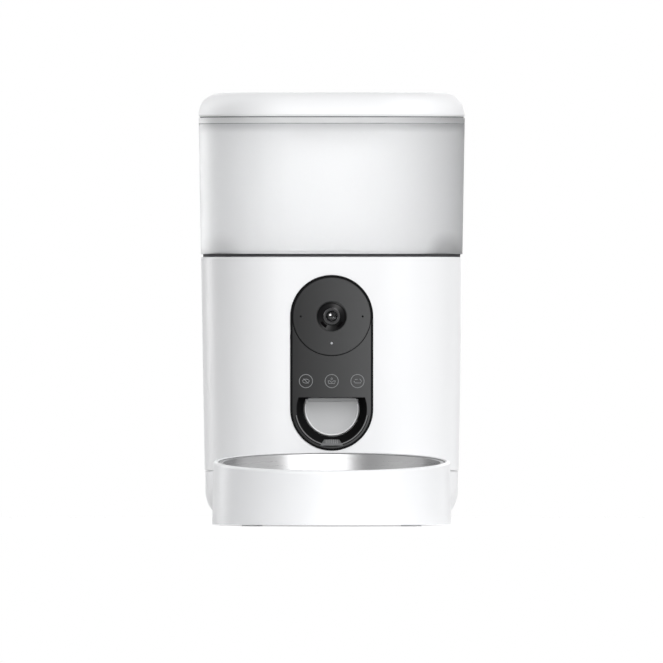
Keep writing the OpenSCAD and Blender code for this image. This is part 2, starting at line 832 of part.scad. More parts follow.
module outlet_throat() color(dark) on_panel() difference() {
    union() {
        intersection() {
            throat_cone(throat_t);
            below(lid_of_outlet + throat_t);
        }
        for (side = [-1, 1]) translate([side * (ear_u + ear_t / 2) - ear_t / 2, pin_v - 4, pin_w - 1.5])
            cube([ear_t, 4 + 1.6 + throat_t, 5.2]);
    }
    intersection() {
        translate([0, outlet_v, throat_w - outlet_depth - over]) cylinder(
            h = outlet_depth + 2 * over,
            r1 = flap_r + 0.9 - over * throat_rise, r2 = outlet_r + over * throat_rise);
        below(lid_of_outlet);
    }
    translate([-far / 2, pin_v, pin_w]) rotate([0, 90, 0]) cylinder(h = far, r = flap_pin_r + fit);
    panel_slab(throat_w - 16, far) lip_outline(0.1, 2);
}

// Outline of the flap: the outlet's shape with its two upper corners rounded
module flap_outline(r, top) {
    corner_v = top - flap_corner;
    corner_u = sqrt(pow(r - flap_corner, 2) - corner_v * corner_v);
    translate([0, outlet_v]) intersection() {
        circle(r);
        union() {
            translate([-2 * r, -2 * r]) square([4 * r, 2 * r + corner_v]);
            translate([-corner_u, 0]) square([2 * corner_u, top]);
            for (side = [-1, 1]) translate([side * corner_u, corner_v]) circle(flap_corner);
        }
    }
}

module outlet_flap() color(grey) on_panel() difference() {
    union() {
        panel_slab(pin_w - flap_t / 2, pin_w + flap_t / 2) flap_outline(flap_r, outlet_top - 1.6);
        panel_slab(pin_w, pin_w + flap_t / 2 + 0.7) difference() {
            outlet_outline(flap_r, outlet_top - 6);
            outlet_outline(flap_r - 1, outlet_top - 5);
        }
        translate([flap_ease - flap_r, pin_v, pin_w]) rotate([0, 90, 0])
            cylinder(h = 2 * (flap_r - flap_ease), r = flap_barrel_r);
    }
    translate([-far / 2, pin_v, pin_w]) rotate([0, 90, 0]) cylinder(h = far, r = flap_pin_r + fit);
}

module flap_pin() color(steel) on_panel() translate([-ear_u - ear_t, pin_v, pin_w]) rotate([0, 90, 0])
    cylinder(h = 2 * (ear_u + ear_t), r = flap_pin_r);

// Panel

module panel_bezel() color(dark) on_panel() difference() {
    union() {
        panel_slab(bezel_back, panel_proud - 0.7) stadium(panel_r);
        panel_slab(panel_proud - 0.7, panel_proud - 0.3) stadium(panel_r - 0.35);
        panel_slab(panel_proud - 0.3, panel_proud) stadium(panel_r - 0.9);
        panel_slab(bezel_back, -shell_t - fit) stadium(flange_r);
        translate([0, lens_v, lens_board_w + board_t + fit]) at_corners(lens_boss, lens_boss)
            cylinder(h = bezel_back - lens_board_w - board_t, r = 2.4);
    }
    panel_slab(plate_w - fit, far) stadium(pocket_r);
    translate([0, lens_v, bezel_back - over]) cylinder(h = far, r = ring_r + 1.3);
    for (side = [-1, 1]) translate([side * mic_u, lens_v, bezel_back - over]) cylinder(h = far, r = 2.2);
    translate([0, lens_v - light_v, bezel_back - over]) cylinder(h = far, r = light_r + 0.2);
    for (k = [-1:1]) translate([k * key_pitch, -key_drop, bezel_back - over]) cylinder(h = far, r = 4.2);
    panel_slab(bezel_back - over, far)
        outlet_outline(outlet_r + throat_t + slack, outlet_top + throat_t + slack);
    panel_slab(bezel_back - over, far) lip_outline(0.1, fit);
}

module camera_disc() color(smoke) on_panel() translate([0, lens_v, 0]) difference() {
    rotate_extrude() polygon([
        [ring_r + 0.1, plate_w], [disc_r, plate_w], [disc_r, face_w - 0.4], [disc_r - 0.5, face_w],
        [ring_r + 0.6, face_w], [ring_r + 0.1, face_w - 0.4]
    ]);
    for (side = [-1, 1]) translate([side * mic_u, 0, plate_w - over]) cylinder(h = far, r = 0.75);
    translate([0, -light_v, plate_w - over]) cylinder(h = far, r = light_r + fit);
}

module key_plate() color(smoke) on_panel() panel_slab(plate_w, face_w) difference() {
    stadium(pocket_r - 0.1);
    translate([0, lens_v]) circle(disc_r + 0.5);
    translate([-panel_r, lens_v]) square([2 * panel_r, 2 * panel_r]);
    outlet_outline(outlet_r + 0.4, outlet_top + 0.4);
    lip_outline(0.1, fit);
}

module lens_ring() color(dark) on_panel() translate([0, lens_v, 0]) difference() {
    rotate_extrude() polygon([
        [barrel_r + 0.1, plate_w - 2], [ring_r, plate_w - 2],
        [ring_r, face_w + 0.1], [ring_r - 0.6, face_w + 0.1], [ring_r - 1.2, face_w - 0.5],
        [barrel_r + 0.6, face_w - 0.5], [barrel_r + 0.1, face_w - 0.3]
    ]);
    window_places() translate([0, 0, -far / 2]) window_arc(fit, far);
}

module window_places() {
    for (a = window_angles) rotate([0, 0, a]) children();
}

// Arc-shaped block for a window in the lens ring
module window_arc(grow, h) {
    half_span = window_span / 2 + grow / window_r * 180 / PI;
    rotate([0, 0, -half_span]) rotate_extrude(angle = 2 * half_span)
        translate([window_r - window_w / 2 - grow, 0]) square([window_w + 2 * grow, h]);
}

module infrared_windows() color([0.2, 0.07, 0.1]) on_panel() translate([0, lens_v, 0])
    window_places() translate([0, 0, plate_w - 1.6]) window_arc(0, face_w - 0.7 - plate_w + 1.6);

module lens_barrel() color(dark) on_panel() translate([0, lens_v, 0]) rotate_extrude() polygon([
    [glass_r + fit, -8], [barrel_r, -8], [barrel_r, face_w + 0.2], [barrel_r - 0.5, face_w + 0.5],
    [barrel_r - 0.9, face_w + 0.5], [glass_r + fit, face_w - 0.5]
]);

module lens_glass() color([0.1, 0.12, 0.2]) on_panel() translate([0, lens_v, 0]) intersection() {
    translate([0, 0, face_w - 0.1 - 1.6 * glass_r]) sphere(1.6 * glass_r);
    translate([0, 0, -4]) cylinder(h = 8, r = glass_r);
}

module lens_mount() color(dark) on_panel() translate([0, lens_v, lens_board_w + board_t + fit])
    difference() {
        translate([-8, -8, 0]) cube([16, 16, 9]);
        translate([0, 0, 2]) cylinder(h = far, r = barrel_r + fit);
    }

module camera_board() color(board_green) on_panel() translate([0, lens_v, lens_board_w]) difference() {
    translate([-lens_board / 2, -lens_board / 2, 0]) cube([lens_board, lens_board, board_t]);
    at_corners(lens_boss, lens_boss) translate([0, 0, -over]) cylinder(h = 4, r = 1.2);
}

module infrared_board() color(board_green) on_panel() translate([0, lens_v, 0]) {
    translate([0, 0, plate_w - 4.4]) difference() {
        cylinder(h = 1.2, r = ring_r + 1);
        translate([0, 0, -over]) cylinder(h = 4, r = barrel_r + 0.2);
    }
    window_places() translate([window_r, 0, plate_w - 3.25]) cylinder(h = 1.5, r = 1.1);
}

module status_light() color(white) on_panel() translate([0, lens_v - light_v, bezel_back + 0.4])
    cylinder(h = face_w - bezel_back - 0.4, r = light_r);

module microphones() color(steel) on_panel() for (side = [-1, 1])
    translate([side * mic_u, lens_v, bezel_back + 0.6]) cylinder(h = plate_w - bezel_back - 0.7, r = 2.1);

module key_board() color(board_green) on_panel()
    translate([-key_board_w / 2, -key_drop - key_board_h / 2, bezel_back - key_board_t - fit])
        cube([key_board_w, key_board_h, key_board_t]);

module key_springs() color(brass) on_panel() for (k = [-1:1])
    translate([k * key_pitch, -key_drop, bezel_back - fit]) cylinder(h = plate_w - bezel_back, r = 3.4);

// Drive

module case_outline(grow) {
    hull() {
        translate([0, wheel_y]) circle(output_r + tooth_room + grow, $fn = 48);
        translate([idler_x, idler_y]) circle(idler_r + tooth_room + grow, $fn = 48);
        translate([motor_x, motor_y]) circle(pinion_r + 1.5 * tooth_room + grow, $fn = 48);
    }
}

module gear_case() color(grey) difference() {
    translate([0, 0, case_z]) linear_extrude(case_h - case_t) case_outline(case_t);
    translate([0, 0, case_z + case_t]) linear_extrude(case_h) case_outline(0);
    translate([motor_x, motor_y, case_z - over]) cylinder(h = 4, r = 3);
    translate([idler_x, idler_y, case_z - over]) cylinder(h = 4, r = idler_pin_r + fit);
    translate([0, wheel_y, case_z + case_t / 2]) cylinder(h = 4, r = shaft_r + fit);
}

module gear_cover() color(grey) difference() {
    union() {
        translate([0, 0, cover_z + fit]) linear_extrude(case_t) case_outline(case_t);
        for (p = [
            [0, wheel_y + output_r + 1], [motor_x, motor_y - pinion_r], [1 - output_r, wheel_y - post_back]
        ])
            translate([p[0], p[1], cover_z + fit]) cylinder(h = deck_z - cover_z - 2 * fit, r = cover_post_r);
    }
    translate([0, wheel_y, cover_z - over]) cylinder(h = far, r = shaft_r + 0.5);
    translate([idler_x, idler_y, cover_z - over]) cylinder(h = 4, r = idler_pin_r + fit);
}

module motor() color(steel) translate([motor_x, motor_y, 0]) {
    translate([0, 0, case_z - motor_l - fit]) cylinder(h = motor_l, r = motor_r);
    translate([0, 0, case_z - fit - over]) cylinder(h = case_t, r = 2.8);
}

module motor_pinion() color(brass) translate([motor_x, motor_y, gear_z]) {
    rotate([0, 0, turn_2 + 180 + 180 / pinion_teeth]) spur(pinion_teeth, gear_w);
    translate([0, 0, -0.7]) cylinder(h = 1, r = motor_shaft_r + 1);
}

module idler_gear() color(ivory) translate([idler_x, idler_y, gear_z]) difference() {
    union() {
        rotate([0, 0, turn_2]) spur(idler_teeth, gear_w);
        translate([0, 0, gear_w - fit]) rotate([0, 0, turn_1 + 180 + 180 / pinion_teeth])
            spur(pinion_teeth, gear_w + 1.2 + fit);
    }
    translate([0, 0, -over]) cylinder(h = far, r = idler_pin_r + fit);
}

module idler_pin() color(steel) translate([idler_x, idler_y, case_z + 0.2])
    cylinder(h = case_h - 0.4, r = idler_pin_r);

module output_gear() color(ivory) translate([0, wheel_y, gear_2_z]) difference() {
    rotate([0, 0, turn_1]) spur(output_teeth, gear_w);
    translate([0, 0, -over]) cylinder(h = far, r = shaft_r + fit);
}

module drive_shaft() color(steel) translate([0, wheel_y, 0]) {
    translate([0, 0, case_z + case_t / 2 + fit]) cylinder(h = deck_top - case_z - case_t / 2, r = shaft_r);
    translate([0, 0, deck_top]) rotate([0, 0, 30])
        cylinder(h = wheel_z + socket_h - 1.5 - deck_top, r = hex_af / 2 / cos(30), $fn = 6);
}

module shaft_bush() color(brass) translate([0, wheel_y, 0]) difference() {
    union() {
        translate([0, 0, deck_z - fit]) cylinder(h = deck_t + fit, r = bush_r);
        translate([0, 0, deck_z - 1.6 - fit]) cylinder(h = 1.6, r = bush_r + 1.5);
    }
    cylinder(h = far, r = shaft_r + fit);
}

// Electrics

module main_board() color(board_green) difference() {
    translate([-board_w / 2, board_y, board_low]) cube([board_w, board_t, board_high - board_low]);
    for (x = [-1, 1], z = [board_low + 6, board_high - 6])
        translate([x * (board_w / 2 - 6), board_y - over, z]) rotate([-90, 0, 0]) cylinder(h = 4, r = 1.5);
}

module power_port() color(steel) difference() {
    translate([0, board_y + board_t + fit, port_z]) rotate([-90, 0, 0])
        linear_extrude(tower_d / 2 - board_y - board_t - 0.3) port_outline(0);
    translate([0, tower_d / 2 - 7, port_z]) rotate([-90, 0, 0]) linear_extrude(12) port_outline(-0.4);
}

module reset_button() color(soft_grey) translate([button_x, 0, button_z]) rotate([-90, 0, 0]) {
    seat = tower_d / 2 + button_z * tan(draft) - shell_t - slack;
    translate([0, 0, tower_d / 2 - button_stem]) cylinder(h = button_stem + button_travel, r = button_r);
    translate([0, 0, seat - collar_t]) cylinder(h = collar_t, r = button_r + collar_w);
}

module reset_switch() color(dark) {
    translate([button_x - 3, board_y + board_t + fit, button_z - 3])
        cube([6, tower_d / 2 - 10 - board_y - board_t, 6]);
    translate([button_x, tower_d / 2 - 10.1, button_z]) rotate([-90, 0, 0]) cylinder(h = 2.3, r = 1.6);
}

module speaker() color(dark) translate([0, 0, speaker_z]) rotate([-90, 0, 0]) {
    translate([0, 0, speaker_y]) cylinder(h = 4.5, r = speaker_r * 0.6);
    translate([0, 0, speaker_y + 4]) cylinder(h = 5, r1 = speaker_r * 0.6, r2 = speaker_r);
    translate([0, 0, speaker_y + 9]) cylinder(h = tower_d / 2 - 0.5 - speaker_y - 9, r = speaker_r);
}

module cells() color([0.2, 0.22, 0.24]) for (i = [-1:1])
    translate([i * cell_d, bay_y + cell_l / 2, cell_z]) rotate([90, 0, 0]) {
        cylinder(h = cell_l - 1.5, r = cell_d / 2 - fit);
        translate([0, 0, cell_l - 2]) cylinder(h = 2, r = 4.5);
    }

module cell_contacts() color(steel) for (i = [-1:1], end = [-1, 1])
    translate([i * cell_d, bay_y + end * (bay_l / 2 - fit), cell_z]) rotate([end * 90, 0, 0]) {
        translate([-8, -8, 0]) cube([16, 16, 0.6]);
        cylinder(h = contact_l - 0.2, r1 = 5, r2 = 3.5);
    }

// Rods along the door's hinge: the door's knuckles, or the base's knuckles beside them
module hinge_rods(r, l, x) {
    for (side = [-1, 1]) translate([side * x - l / 2, door_hinge_y, foot_h]) rotate([0, 90, 0])
        cylinder(h = l, r = r);
}

module cell_door() color(white) difference() {
    union() {
        translate([-bay_w / 2 + slack, bay_y - bay_l / 2 + slack, foot_h])
            cube([bay_w - 2 * slack, bay_l - 2 * slack, door_t - 0.2]);
        hinge_rods(knuckle_r, knuckle_l, knuckle_x);
        translate([-latch_w / 2, bay_y - bay_l / 2 + slack, foot_h]) cube([latch_w, 1.2, door_t + latch_h]);
    }
    hinge_rods(knuckle_r + slack, knuckle_l + 2 * slack, knuckle_x + knuckle_l + slack);
    hinge_rods(door_pin_r + fit, bay_w, 0);
}

module door_pin() color(steel) hinge_rods(door_pin_r, 2 * knuckle_l, knuckle_x + knuckle_l / 2);

// Tray and bowl

module tray_cone(inset, z0) {
    h = far / 4;
    translate([0, 0, z0]) cylinder(
        h = h, r1 = tray_r - inset - z0 * tan(tray_lean), r2 = tray_r - inset - (h + z0) * tan(tray_lean));
}

// Front view of the neck between the tray and the tower
module bridge_outline() {
    half = bridge_w / 2;
    translate([-half, foot_h]) square([bridge_w, bridge_h - foot_h - bridge_round]);
    translate([bridge_round - half, foot_h]) square([bridge_w - 2 * bridge_round, bridge_h - foot_h]);
    for (side = [-1, 1])
        translate([side * (half - bridge_round), bridge_h - bridge_round]) circle(bridge_round);
}

// Everything under the tray's rim, with the rim's outer edge rounded
module rounded_rim() {
    on_rim() rotate_extrude() {
        lid_section(tray_top_r + rim_spare, -2 * rim_round, 0, rim_round);
        translate([0, -far]) square([far, far - rim_round]);
    }
}

module tray_shell() color(white) difference() {
    union() {
        intersection() {
            tray_cone(0, foot_h);
            rounded_rim();
        }
        difference() {
            translate([0, tray_axis - bridge_back, 0]) rotate([90, 0, 0])
                linear_extrude(tray_axis - bridge_back - tray_r / 2) bridge_outline();
            translate([0, tray_axis, 0]) tower_block(0, base_h, -seam);
        }
        translate([-tongue_w / 2, tray_r / 2, tongue_z])
            cube([tongue_w, tray_axis - tower_d / 2 + tongue_l - tray_r / 2, tongue_h]);
    }
    on_rim() translate([0, 0, -ledge_drop]) cylinder(h = far, r = well_r);
    on_rim() translate([0, 0, -rim_ease])
        cylinder(h = rim_ease + over, r1 = well_r, r2 = well_r + rim_ease + over);
    on_rim() translate([0, 0, -ledge_drop - ledge_h - over]) cylinder(h = far, r = well_r - ledge_w);
    intersection() {
        tray_cone(tray_t, 0);
        under_rim(ledge_drop + ledge_h);
    }
}

module tray_floor() color(white) difference() {
    translate([0, 0, foot_h]) cylinder(h = tray_floor_t, r = tray_r - tray_t - slack);
    strip_places(strip_w + 2 * fit, strip_l + 2 * fit, foot_h + strip_in);
}

module strip_places(w, l, h) {
    for (side = [-1, 1]) translate([side * strip_x - w / 2, -l / 2, 0]) cube([w, l, h]);
}

module tray_feet() color(soft_grey) strip_places(strip_w, strip_l, foot_h + strip_in - fit);

// Half section of the bowl's room: a leaning wall that rounds into a flat floor
module bowl_section(inset, top) {
    turn_z = bowl_fillet - bowl_depth - ledge_drop;
    turn_r = bowl_r + (turn_z + ledge_drop) * tan(bowl_lean) - bowl_fillet / cos(bowl_lean);
    r = bowl_fillet - inset;
    polygon([
        [0, turn_z - r], [turn_r, turn_z - r], [turn_r + r * cos(bowl_lean), turn_z - r * sin(bowl_lean)],
        [turn_r + r / cos(bowl_lean) + (top - turn_z) * tan(bowl_lean), top], [0, top]
    ]);
    translate([turn_r, turn_z]) circle(r);
}

module steel_bowl() color(steel) on_rim() rotate_extrude() {
    difference() {
        bowl_section(0, bowl_top);
        bowl_section(bowl_t, bowl_top + over);
    }
    translate([bowl_r - bowl_t / 2, bowl_top - bowl_t])
        square([bowl_rim_r - bowl_bead - bowl_r + bowl_t / 2, bowl_t]);
    translate([bowl_rim_r - bowl_bead, bowl_top - bowl_t + bowl_bead]) circle(bowl_bead);
}

module in_tower() {
    translate([0, tower_y, 0]) children();
}

module in_tray() {
    translate([0, tower_y - tray_axis, 0]) children();
}

in_tower() lid_cover();
in_tower() lid_liner();
in_tower() lid_seal();
in_tower() dry_box();
in_tower() dry_cap();
in_tower() hopper_tank();
in_tower() portion_cup();
in_tower() drop_baffle();
in_tower() portion_wheel();
in_tower() vane_tips();
in_tower() stirrer();
in_tower() front_cover();
in_tower() rear_housing();
in_tower() base_pan();
in_tower() hopper_gasket();
in_tower() inner_deck();
in_tower() chute();
in_tower() panel_bezel();
in_tower() camera_disc();
in_tower() key_plate();
in_tower() lens_ring();
in_tower() infrared_windows();
in_tower() lens_barrel();
in_tower() lens_glass();
in_tower() lens_mount();
in_tower() camera_board();
in_tower() infrared_board();
in_tower() status_light();
in_tower() microphones();
in_tower() key_board();
in_tower() key_springs();
in_tower() outlet_throat();
in_tower() outlet_lip();
in_tower() outlet_flap();
in_tower() flap_pin();
in_tower() motor();
in_tower() motor_pinion();
in_tower() idler_gear();
in_tower() idler_pin();
in_tower() output_gear();
in_tower() drive_shaft();
in_tower() shaft_bush();
in_tower() gear_case();
in_tower() gear_cover();
in_tower() main_board();
in_tower() power_port();
in_tower() reset_button();
in_tower() reset_switch();
in_tower() speaker();
in_tower() cells();
in_tower() cell_contacts();
in_tower() cell_door();
in_tower() door_pin();
in_tower() base_feet();
in_tower() deck_screws();
in_tray() tray_shell();
in_tray() tray_floor();
in_tray() tray_feet();
in_tray() steel_bowl();
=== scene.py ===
"""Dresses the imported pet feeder: finishes, key marks, lens group, fine trims, studio light and camera."""

from __future__ import annotations

import json
import logging
import math
from dataclasses import dataclass, field
from enum import Enum
from typing import Callable, Iterable, Sequence

import bmesh
import bpy
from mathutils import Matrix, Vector

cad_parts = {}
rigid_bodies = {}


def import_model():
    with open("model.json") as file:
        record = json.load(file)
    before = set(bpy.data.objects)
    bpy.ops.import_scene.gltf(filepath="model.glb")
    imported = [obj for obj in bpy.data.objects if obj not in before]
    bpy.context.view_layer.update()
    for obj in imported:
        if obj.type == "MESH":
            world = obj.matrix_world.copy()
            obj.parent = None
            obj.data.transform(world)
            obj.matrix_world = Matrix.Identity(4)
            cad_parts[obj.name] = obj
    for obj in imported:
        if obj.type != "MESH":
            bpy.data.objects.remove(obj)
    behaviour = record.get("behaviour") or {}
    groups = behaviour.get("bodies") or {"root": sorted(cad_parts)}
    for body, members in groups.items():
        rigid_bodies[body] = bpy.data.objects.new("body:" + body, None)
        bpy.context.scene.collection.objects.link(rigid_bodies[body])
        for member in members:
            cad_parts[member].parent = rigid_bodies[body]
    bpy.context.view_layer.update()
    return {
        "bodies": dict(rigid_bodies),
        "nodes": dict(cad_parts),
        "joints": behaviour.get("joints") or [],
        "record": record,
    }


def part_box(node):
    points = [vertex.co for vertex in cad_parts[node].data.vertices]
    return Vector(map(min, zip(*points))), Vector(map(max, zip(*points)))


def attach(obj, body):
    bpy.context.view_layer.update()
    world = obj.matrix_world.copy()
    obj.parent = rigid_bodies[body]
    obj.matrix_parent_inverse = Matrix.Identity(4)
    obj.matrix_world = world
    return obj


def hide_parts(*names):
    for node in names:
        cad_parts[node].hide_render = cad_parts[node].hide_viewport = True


LOG = logging.getLogger("feeder")
MM = 0.001

Point2 = tuple[float, float]
Colour = tuple[float, float, float]
Faces = list[tuple[int, ...]]
Place = Callable[[float, float, float], Vector]
Socket = bpy.types.NodeSocket
Inputs = dict[object, object]

# A mix node's inputs for two colours and its output for their mix
MIX_A, MIX_B, MIX_RESULT = 6, 7, 2


def shade(colour: Colour, amount: float) -> Colour:
    """Returns a colour made lighter or darker by a share."""
    return tuple(min(1.0, c * (1.0 + amount)) for c in colour)


@dataclass(frozen=True)
class Clouds:
    """Soft clouds that vary a colour or a gloss.

    Attributes:
        scale: repeats in a metre.
        detail: levels of finer noise.
        less: the share taken off where the clouds are thin.
        more: the share added where they are thick.
    """

    scale: float
    detail: float
    less: float
    more: float


@dataclass(frozen=True)
class Grain:
    """Fine grain or lines that stand up from a surface.

    Attributes:
        scale: repeats in a metre.
        detail: levels of finer noise.
        strength: share of the effect.
        depth: height in metres.
    """

    scale: float
    detail: float
    strength: float
    depth: float


class NodeSheet:
    """A node tree with one surface, and short ways to add and link nodes."""

    def __init__(self, owner: bpy.types.Material | bpy.types.World, output: str, surface: str,
                 place: str) -> None:
        """Clears the owner's nodes and links a new surface to its output.

        Args:
            owner: the material or the world.
            output: Blender's name for the output's type.
            surface: Blender's name for the surface's type.
            place: the texture coordinate that the nodes follow.
        """
        owner.use_nodes = True
        self.tree = owner.node_tree
        self.tree.nodes.clear()
        self.surface = self.add(surface)
        self.output = self.add(output, {"Surface": self.surface.outputs[0]})
        self.place = self.add("ShaderNodeTexCoord").outputs[place]

    def give(self, target: Socket, value: object) -> None:
        """Links an input to a socket, or sets it to a plain value."""
        if isinstance(value, Socket):
            self.tree.links.new(value, target)
        else:
            target.default_value = value

    def add(self, kind: str, inputs: Inputs | None = None, **settings: object) -> bpy.types.Node:
        """Adds a node.

        Args:
            kind: Blender's name for the node's type.
            inputs: sockets or plain values for its inputs.
            settings: properties of the node.

        Returns:
            The new node.
        """
        node = self.tree.nodes.new(kind)
        for name, value in settings.items():
            setattr(node, name, value)
        for key, value in (inputs or {}).items():
            self.give(node.inputs[key], value)
        return node

    def set(self, **values: object) -> None:
        """Gives the surface's inputs, named in lower case with underscores, sockets or plain values."""
        sockets = {s.name.lower().replace(" ", "_"): s for s in self.surface.inputs}
        for name, value in values.items():
            self.give(sockets[name], value)

    def axes(self, place: Socket | None = None) -> bpy.types.NodeOutputs:
        """Returns the X, Y and Z of a place, which is the surface's own unless another is given."""
        return self.add("ShaderNodeSeparateXYZ", {0: self.place if place is None else place}).outputs

    def reckon(self, operation: str, first: Socket, second: Socket | float) -> Socket:
        """Returns the result of an arithmetic operation on two values."""
        return self.add("ShaderNodeMath", {0: first, 1: second}, operation=operation).outputs[0]

    def remap(self, source: Socket, low: Socket | float, high: Socket | float,
              start: float = 0.3, end: float = 0.7) -> Socket:
        """Returns a value mapped from start..end, by default the span of most noise, to low..high."""
        inputs = {"Value": source, "From Min": start, "From Max": end, "To Min": low, "To Max": high}
        return self.add("ShaderNodeMapRange", inputs).outputs[0]

    def seen(self, rays: Sequence[str], hidden: Socket | float, shown: Socket | float) -> Socket:
        """Adds a value that differs for some kinds of rays.

        Args:
            rays: the kinds of rays, as the light path names them.
            hidden: the value for other rays.
            shown: the value for those rays.

        Returns:
            The value.
        """
        path = self.add("ShaderNodeLightPath")
        total = path.outputs[rays[0]]
        for name in rays[1:]:
            total = self.reckon("MAXIMUM", total, path.outputs[name])
        return self.remap(total, hidden, shown, 0.0, 1.0)


class ShaderSheet(NodeSheet):
    """One material with a Principled surface, and short ways to texture it."""

    def __init__(self, name: str) -> None:
        """Starts an empty material.

        Args:
            name: the material's name.
        """
        self.material = bpy.data.materials.new(name)
        super().__init__(self.material, "ShaderNodeOutputMaterial", "ShaderNodeBsdfPrincipled", "Object")

    def gather(self, **parts: Socket) -> Socket:
        """Returns a place made from some of its X, Y and Z, with 0 for the others."""
        return self.add("ShaderNodeCombineXYZ", parts).outputs[0]

    def distance(self, place: Socket, start: Sequence[float] = (0.0, 0.0, 0.0)) -> Socket:
        """Returns how far a place is from a point."""
        return self.add("ShaderNodeVectorMath", {0: place, 1: start}, operation="DISTANCE").outputs["Value"]

    def noise(self, scale: float, detail: float, stretch: Sequence[float] = (1.0, 1.0, 1.0)) -> Socket:
        """Adds a noise texture in the object's own place.

        Args:
            scale: repeats in a metre.
            detail: levels of finer noise.
            stretch: scale along each axis.

        Returns:
            The noise value, from 0 to 1.
        """
        place = self.add("ShaderNodeMapping", {"Vector": self.place, "Scale": stretch}).outputs[0]
        inputs = {"Vector": place, "Scale": scale, "Detail": detail}
        return self.add("ShaderNodeTexNoise", inputs).outputs["Fac"]

    def tint(self, factor: Socket, first: Socket | Colour, second: Colour, blend: str = "MIX") -> Socket:
        """Mixes two colours by a value, in the way that Blender gives that name, and returns the colour."""
        start = first if isinstance(first, Socket) else (*first, 1.0)
        inputs = {0: factor, MIX_A: start, MIX_B: (*second, 1.0)}
        return self.add("ShaderNodeMix", inputs, data_type="RGBA", blend_type=blend).outputs[MIX_RESULT]

    def dim(self, colour: Socket, where: Socket, share: float) -> Socket:
        """Darkens a colour.

        Args:
            colour: the colour.
            where: the value from 0, left as it is, to 1, fully darkened.
            share: the part of the colour that is taken away at 1.

        Returns:
            The darkened colour.
        """
        left = 1.0 - share
        return self.tint(where, colour, (left, left, left), "MULTIPLY")

    def cloudy(self, colour: Colour, clouds: Clouds) -> Socket:
        """Returns a colour with clouds in it."""
        factor = self.remap(self.noise(clouds.scale, clouds.detail), 0.0, 1.0)
        return self.tint(factor, shade(colour, -clouds.less), shade(colour, clouds.more))

    def uneven(self, value: float, clouds: Clouds) -> Socket:
        """Returns a number that varies with clouds."""
        noise = self.noise(clouds.scale, clouds.detail)
        return self.remap(noise, value * (1.0 - clouds.less), value * (1.0 + clouds.more))

    def bump(self, height: Socket, grain: Grain) -> None:
        """Raises the surface by a height value from 0 to 1, as far as a grain stands up."""
        inputs = {"Height": height, "Strength": grain.strength, "Distance": grain.depth}
        self.set(normal=self.add("ShaderNodeBump", inputs).outputs[0])

    def roughen(self, grain: Grain) -> None:
        """Raises the surface by an even grain."""
        self.bump(self.noise(grain.scale, grain.detail), grain)


@dataclass(frozen=True)
class Finish:
    """A finish with its name and colour."""

    name: str
    colour: Colour

    def material(self) -> bpy.types.Material:
        """Builds the finish's material."""
        s = ShaderSheet(self.name)
        self.lay(s)
        return s.material

    def lay(self, s: ShaderSheet) -> None:
        """Lays the finish on a shader."""
        raise NotImplementedError


@dataclass(frozen=True)
class MouldedPlastic(Finish):
    """Injection-moulded plastic with a faint flow tint and a fine skin."""

    roughness: float = 0.3
    coat: float = 0.0
    coat_roughness: float = 0.08
    specular: float = 0.5
    flow: Clouds = Clouds(9.0, 3.0, 0.006, 0.006)
    gloss: Clouds = Clouds(34.0, 2.0, 0.06, 0.06)
    skin: Grain = Grain(2600.0, 2.0, 0.35, 0.003 * MM)

    def lay(self, s: ShaderSheet) -> None:
        """Lays the plastic: tint drift, uneven gloss and a fine grain."""
        s.set(coat_weight=self.coat, coat_roughness=self.coat_roughness, specular_ior_level=self.specular)
        s.set(base_color=self.tint(s), roughness=s.uneven(self.roughness, self.gloss))
        s.roughen(self.skin)

    def tint(self, s: ShaderSheet) -> Socket:
        """Returns the plastic's colour with the drift that the melt's flow leaves."""
        return s.cloudy(self.colour, self.flow)


@dataclass(frozen=True)
class SmokedPlasticWithPaintedShade(MouldedPlastic):
    """Smoke-tinted plastic with painted shade across it: darker on the left and lighter on the right, where
    the light falls.
    """

    # Painted light: the lighter tint that the face reaches on its right
    thin: Colour = (0.076, 0.077, 0.078)
    half_width: float = 30.0 * MM

    def tint(self, s: ShaderSheet) -> Socket:
        """Returns the colour with painted shade, from the full tint on the left to the painted lighter tint
        on the right.
        """
        across = s.remap(s.axes()["X"], 0.0, 1.0, -self.half_width, self.half_width)
        return s.tint(across, self.colour, self.thin)


@dataclass(frozen=True)
class TurnedPlastic(MouldedPlastic):
    """Plastic turned on a lathe round an axis along Y, whose fine rings draw each glint out across them."""

    pull: float = 0.8
    quarter_turn: float = 0.25

    def lay(self, s: ShaderSheet) -> None:
        """Lays the plastic, with its glints turned from along the rings to across them."""
        super().lay(s)
        rings = s.add("ShaderNodeTangent", direction_type="RADIAL", axis="Y")
        s.set(anisotropic=self.pull, anisotropic_rotation=self.quarter_turn, tangent=rings.outputs[0])


@dataclass(frozen=True)
class FrostedPlastic(Finish):
    """Translucent tank plastic with a fine frost on its outside."""

    roughness: float = 0.45
    transmission: float = 0.54
    density: float = 17.0
    ior: float = 1.3
    specular: float = 0.3
    haze: Clouds = Clouds(14.0, 4.0, 0.006, 0.006)
    gloss: Clouds = Clouds(60.0, 2.0, 0.04, 0.04)
    frost: Grain = Grain(3000.0, 1.0, 0.25, 0.004 * MM)

    def lay(self, s: ShaderSheet) -> None:
        """Lays the frost: a cloudy body that lets blurred light through and dims it along its path."""
        s.set(transmission_weight=self.transmission, ior=self.ior, specular_ior_level=self.specular)
        body = s.add("ShaderNodeVolumeAbsorption", {"Color": (0.0, 0.0, 0.0, 1.0), "Density": self.density})
        s.give(s.output.inputs["Volume"], body.outputs[0])
        s.set(base_color=self.tint(s), roughness=s.uneven(self.roughness, self.gloss))
        s.roughen(self.frost)

    def tint(self, s: ShaderSheet) -> Socket:
        """Returns the frost's colour with a faint cloud."""
        return s.cloudy(self.colour, self.haze)


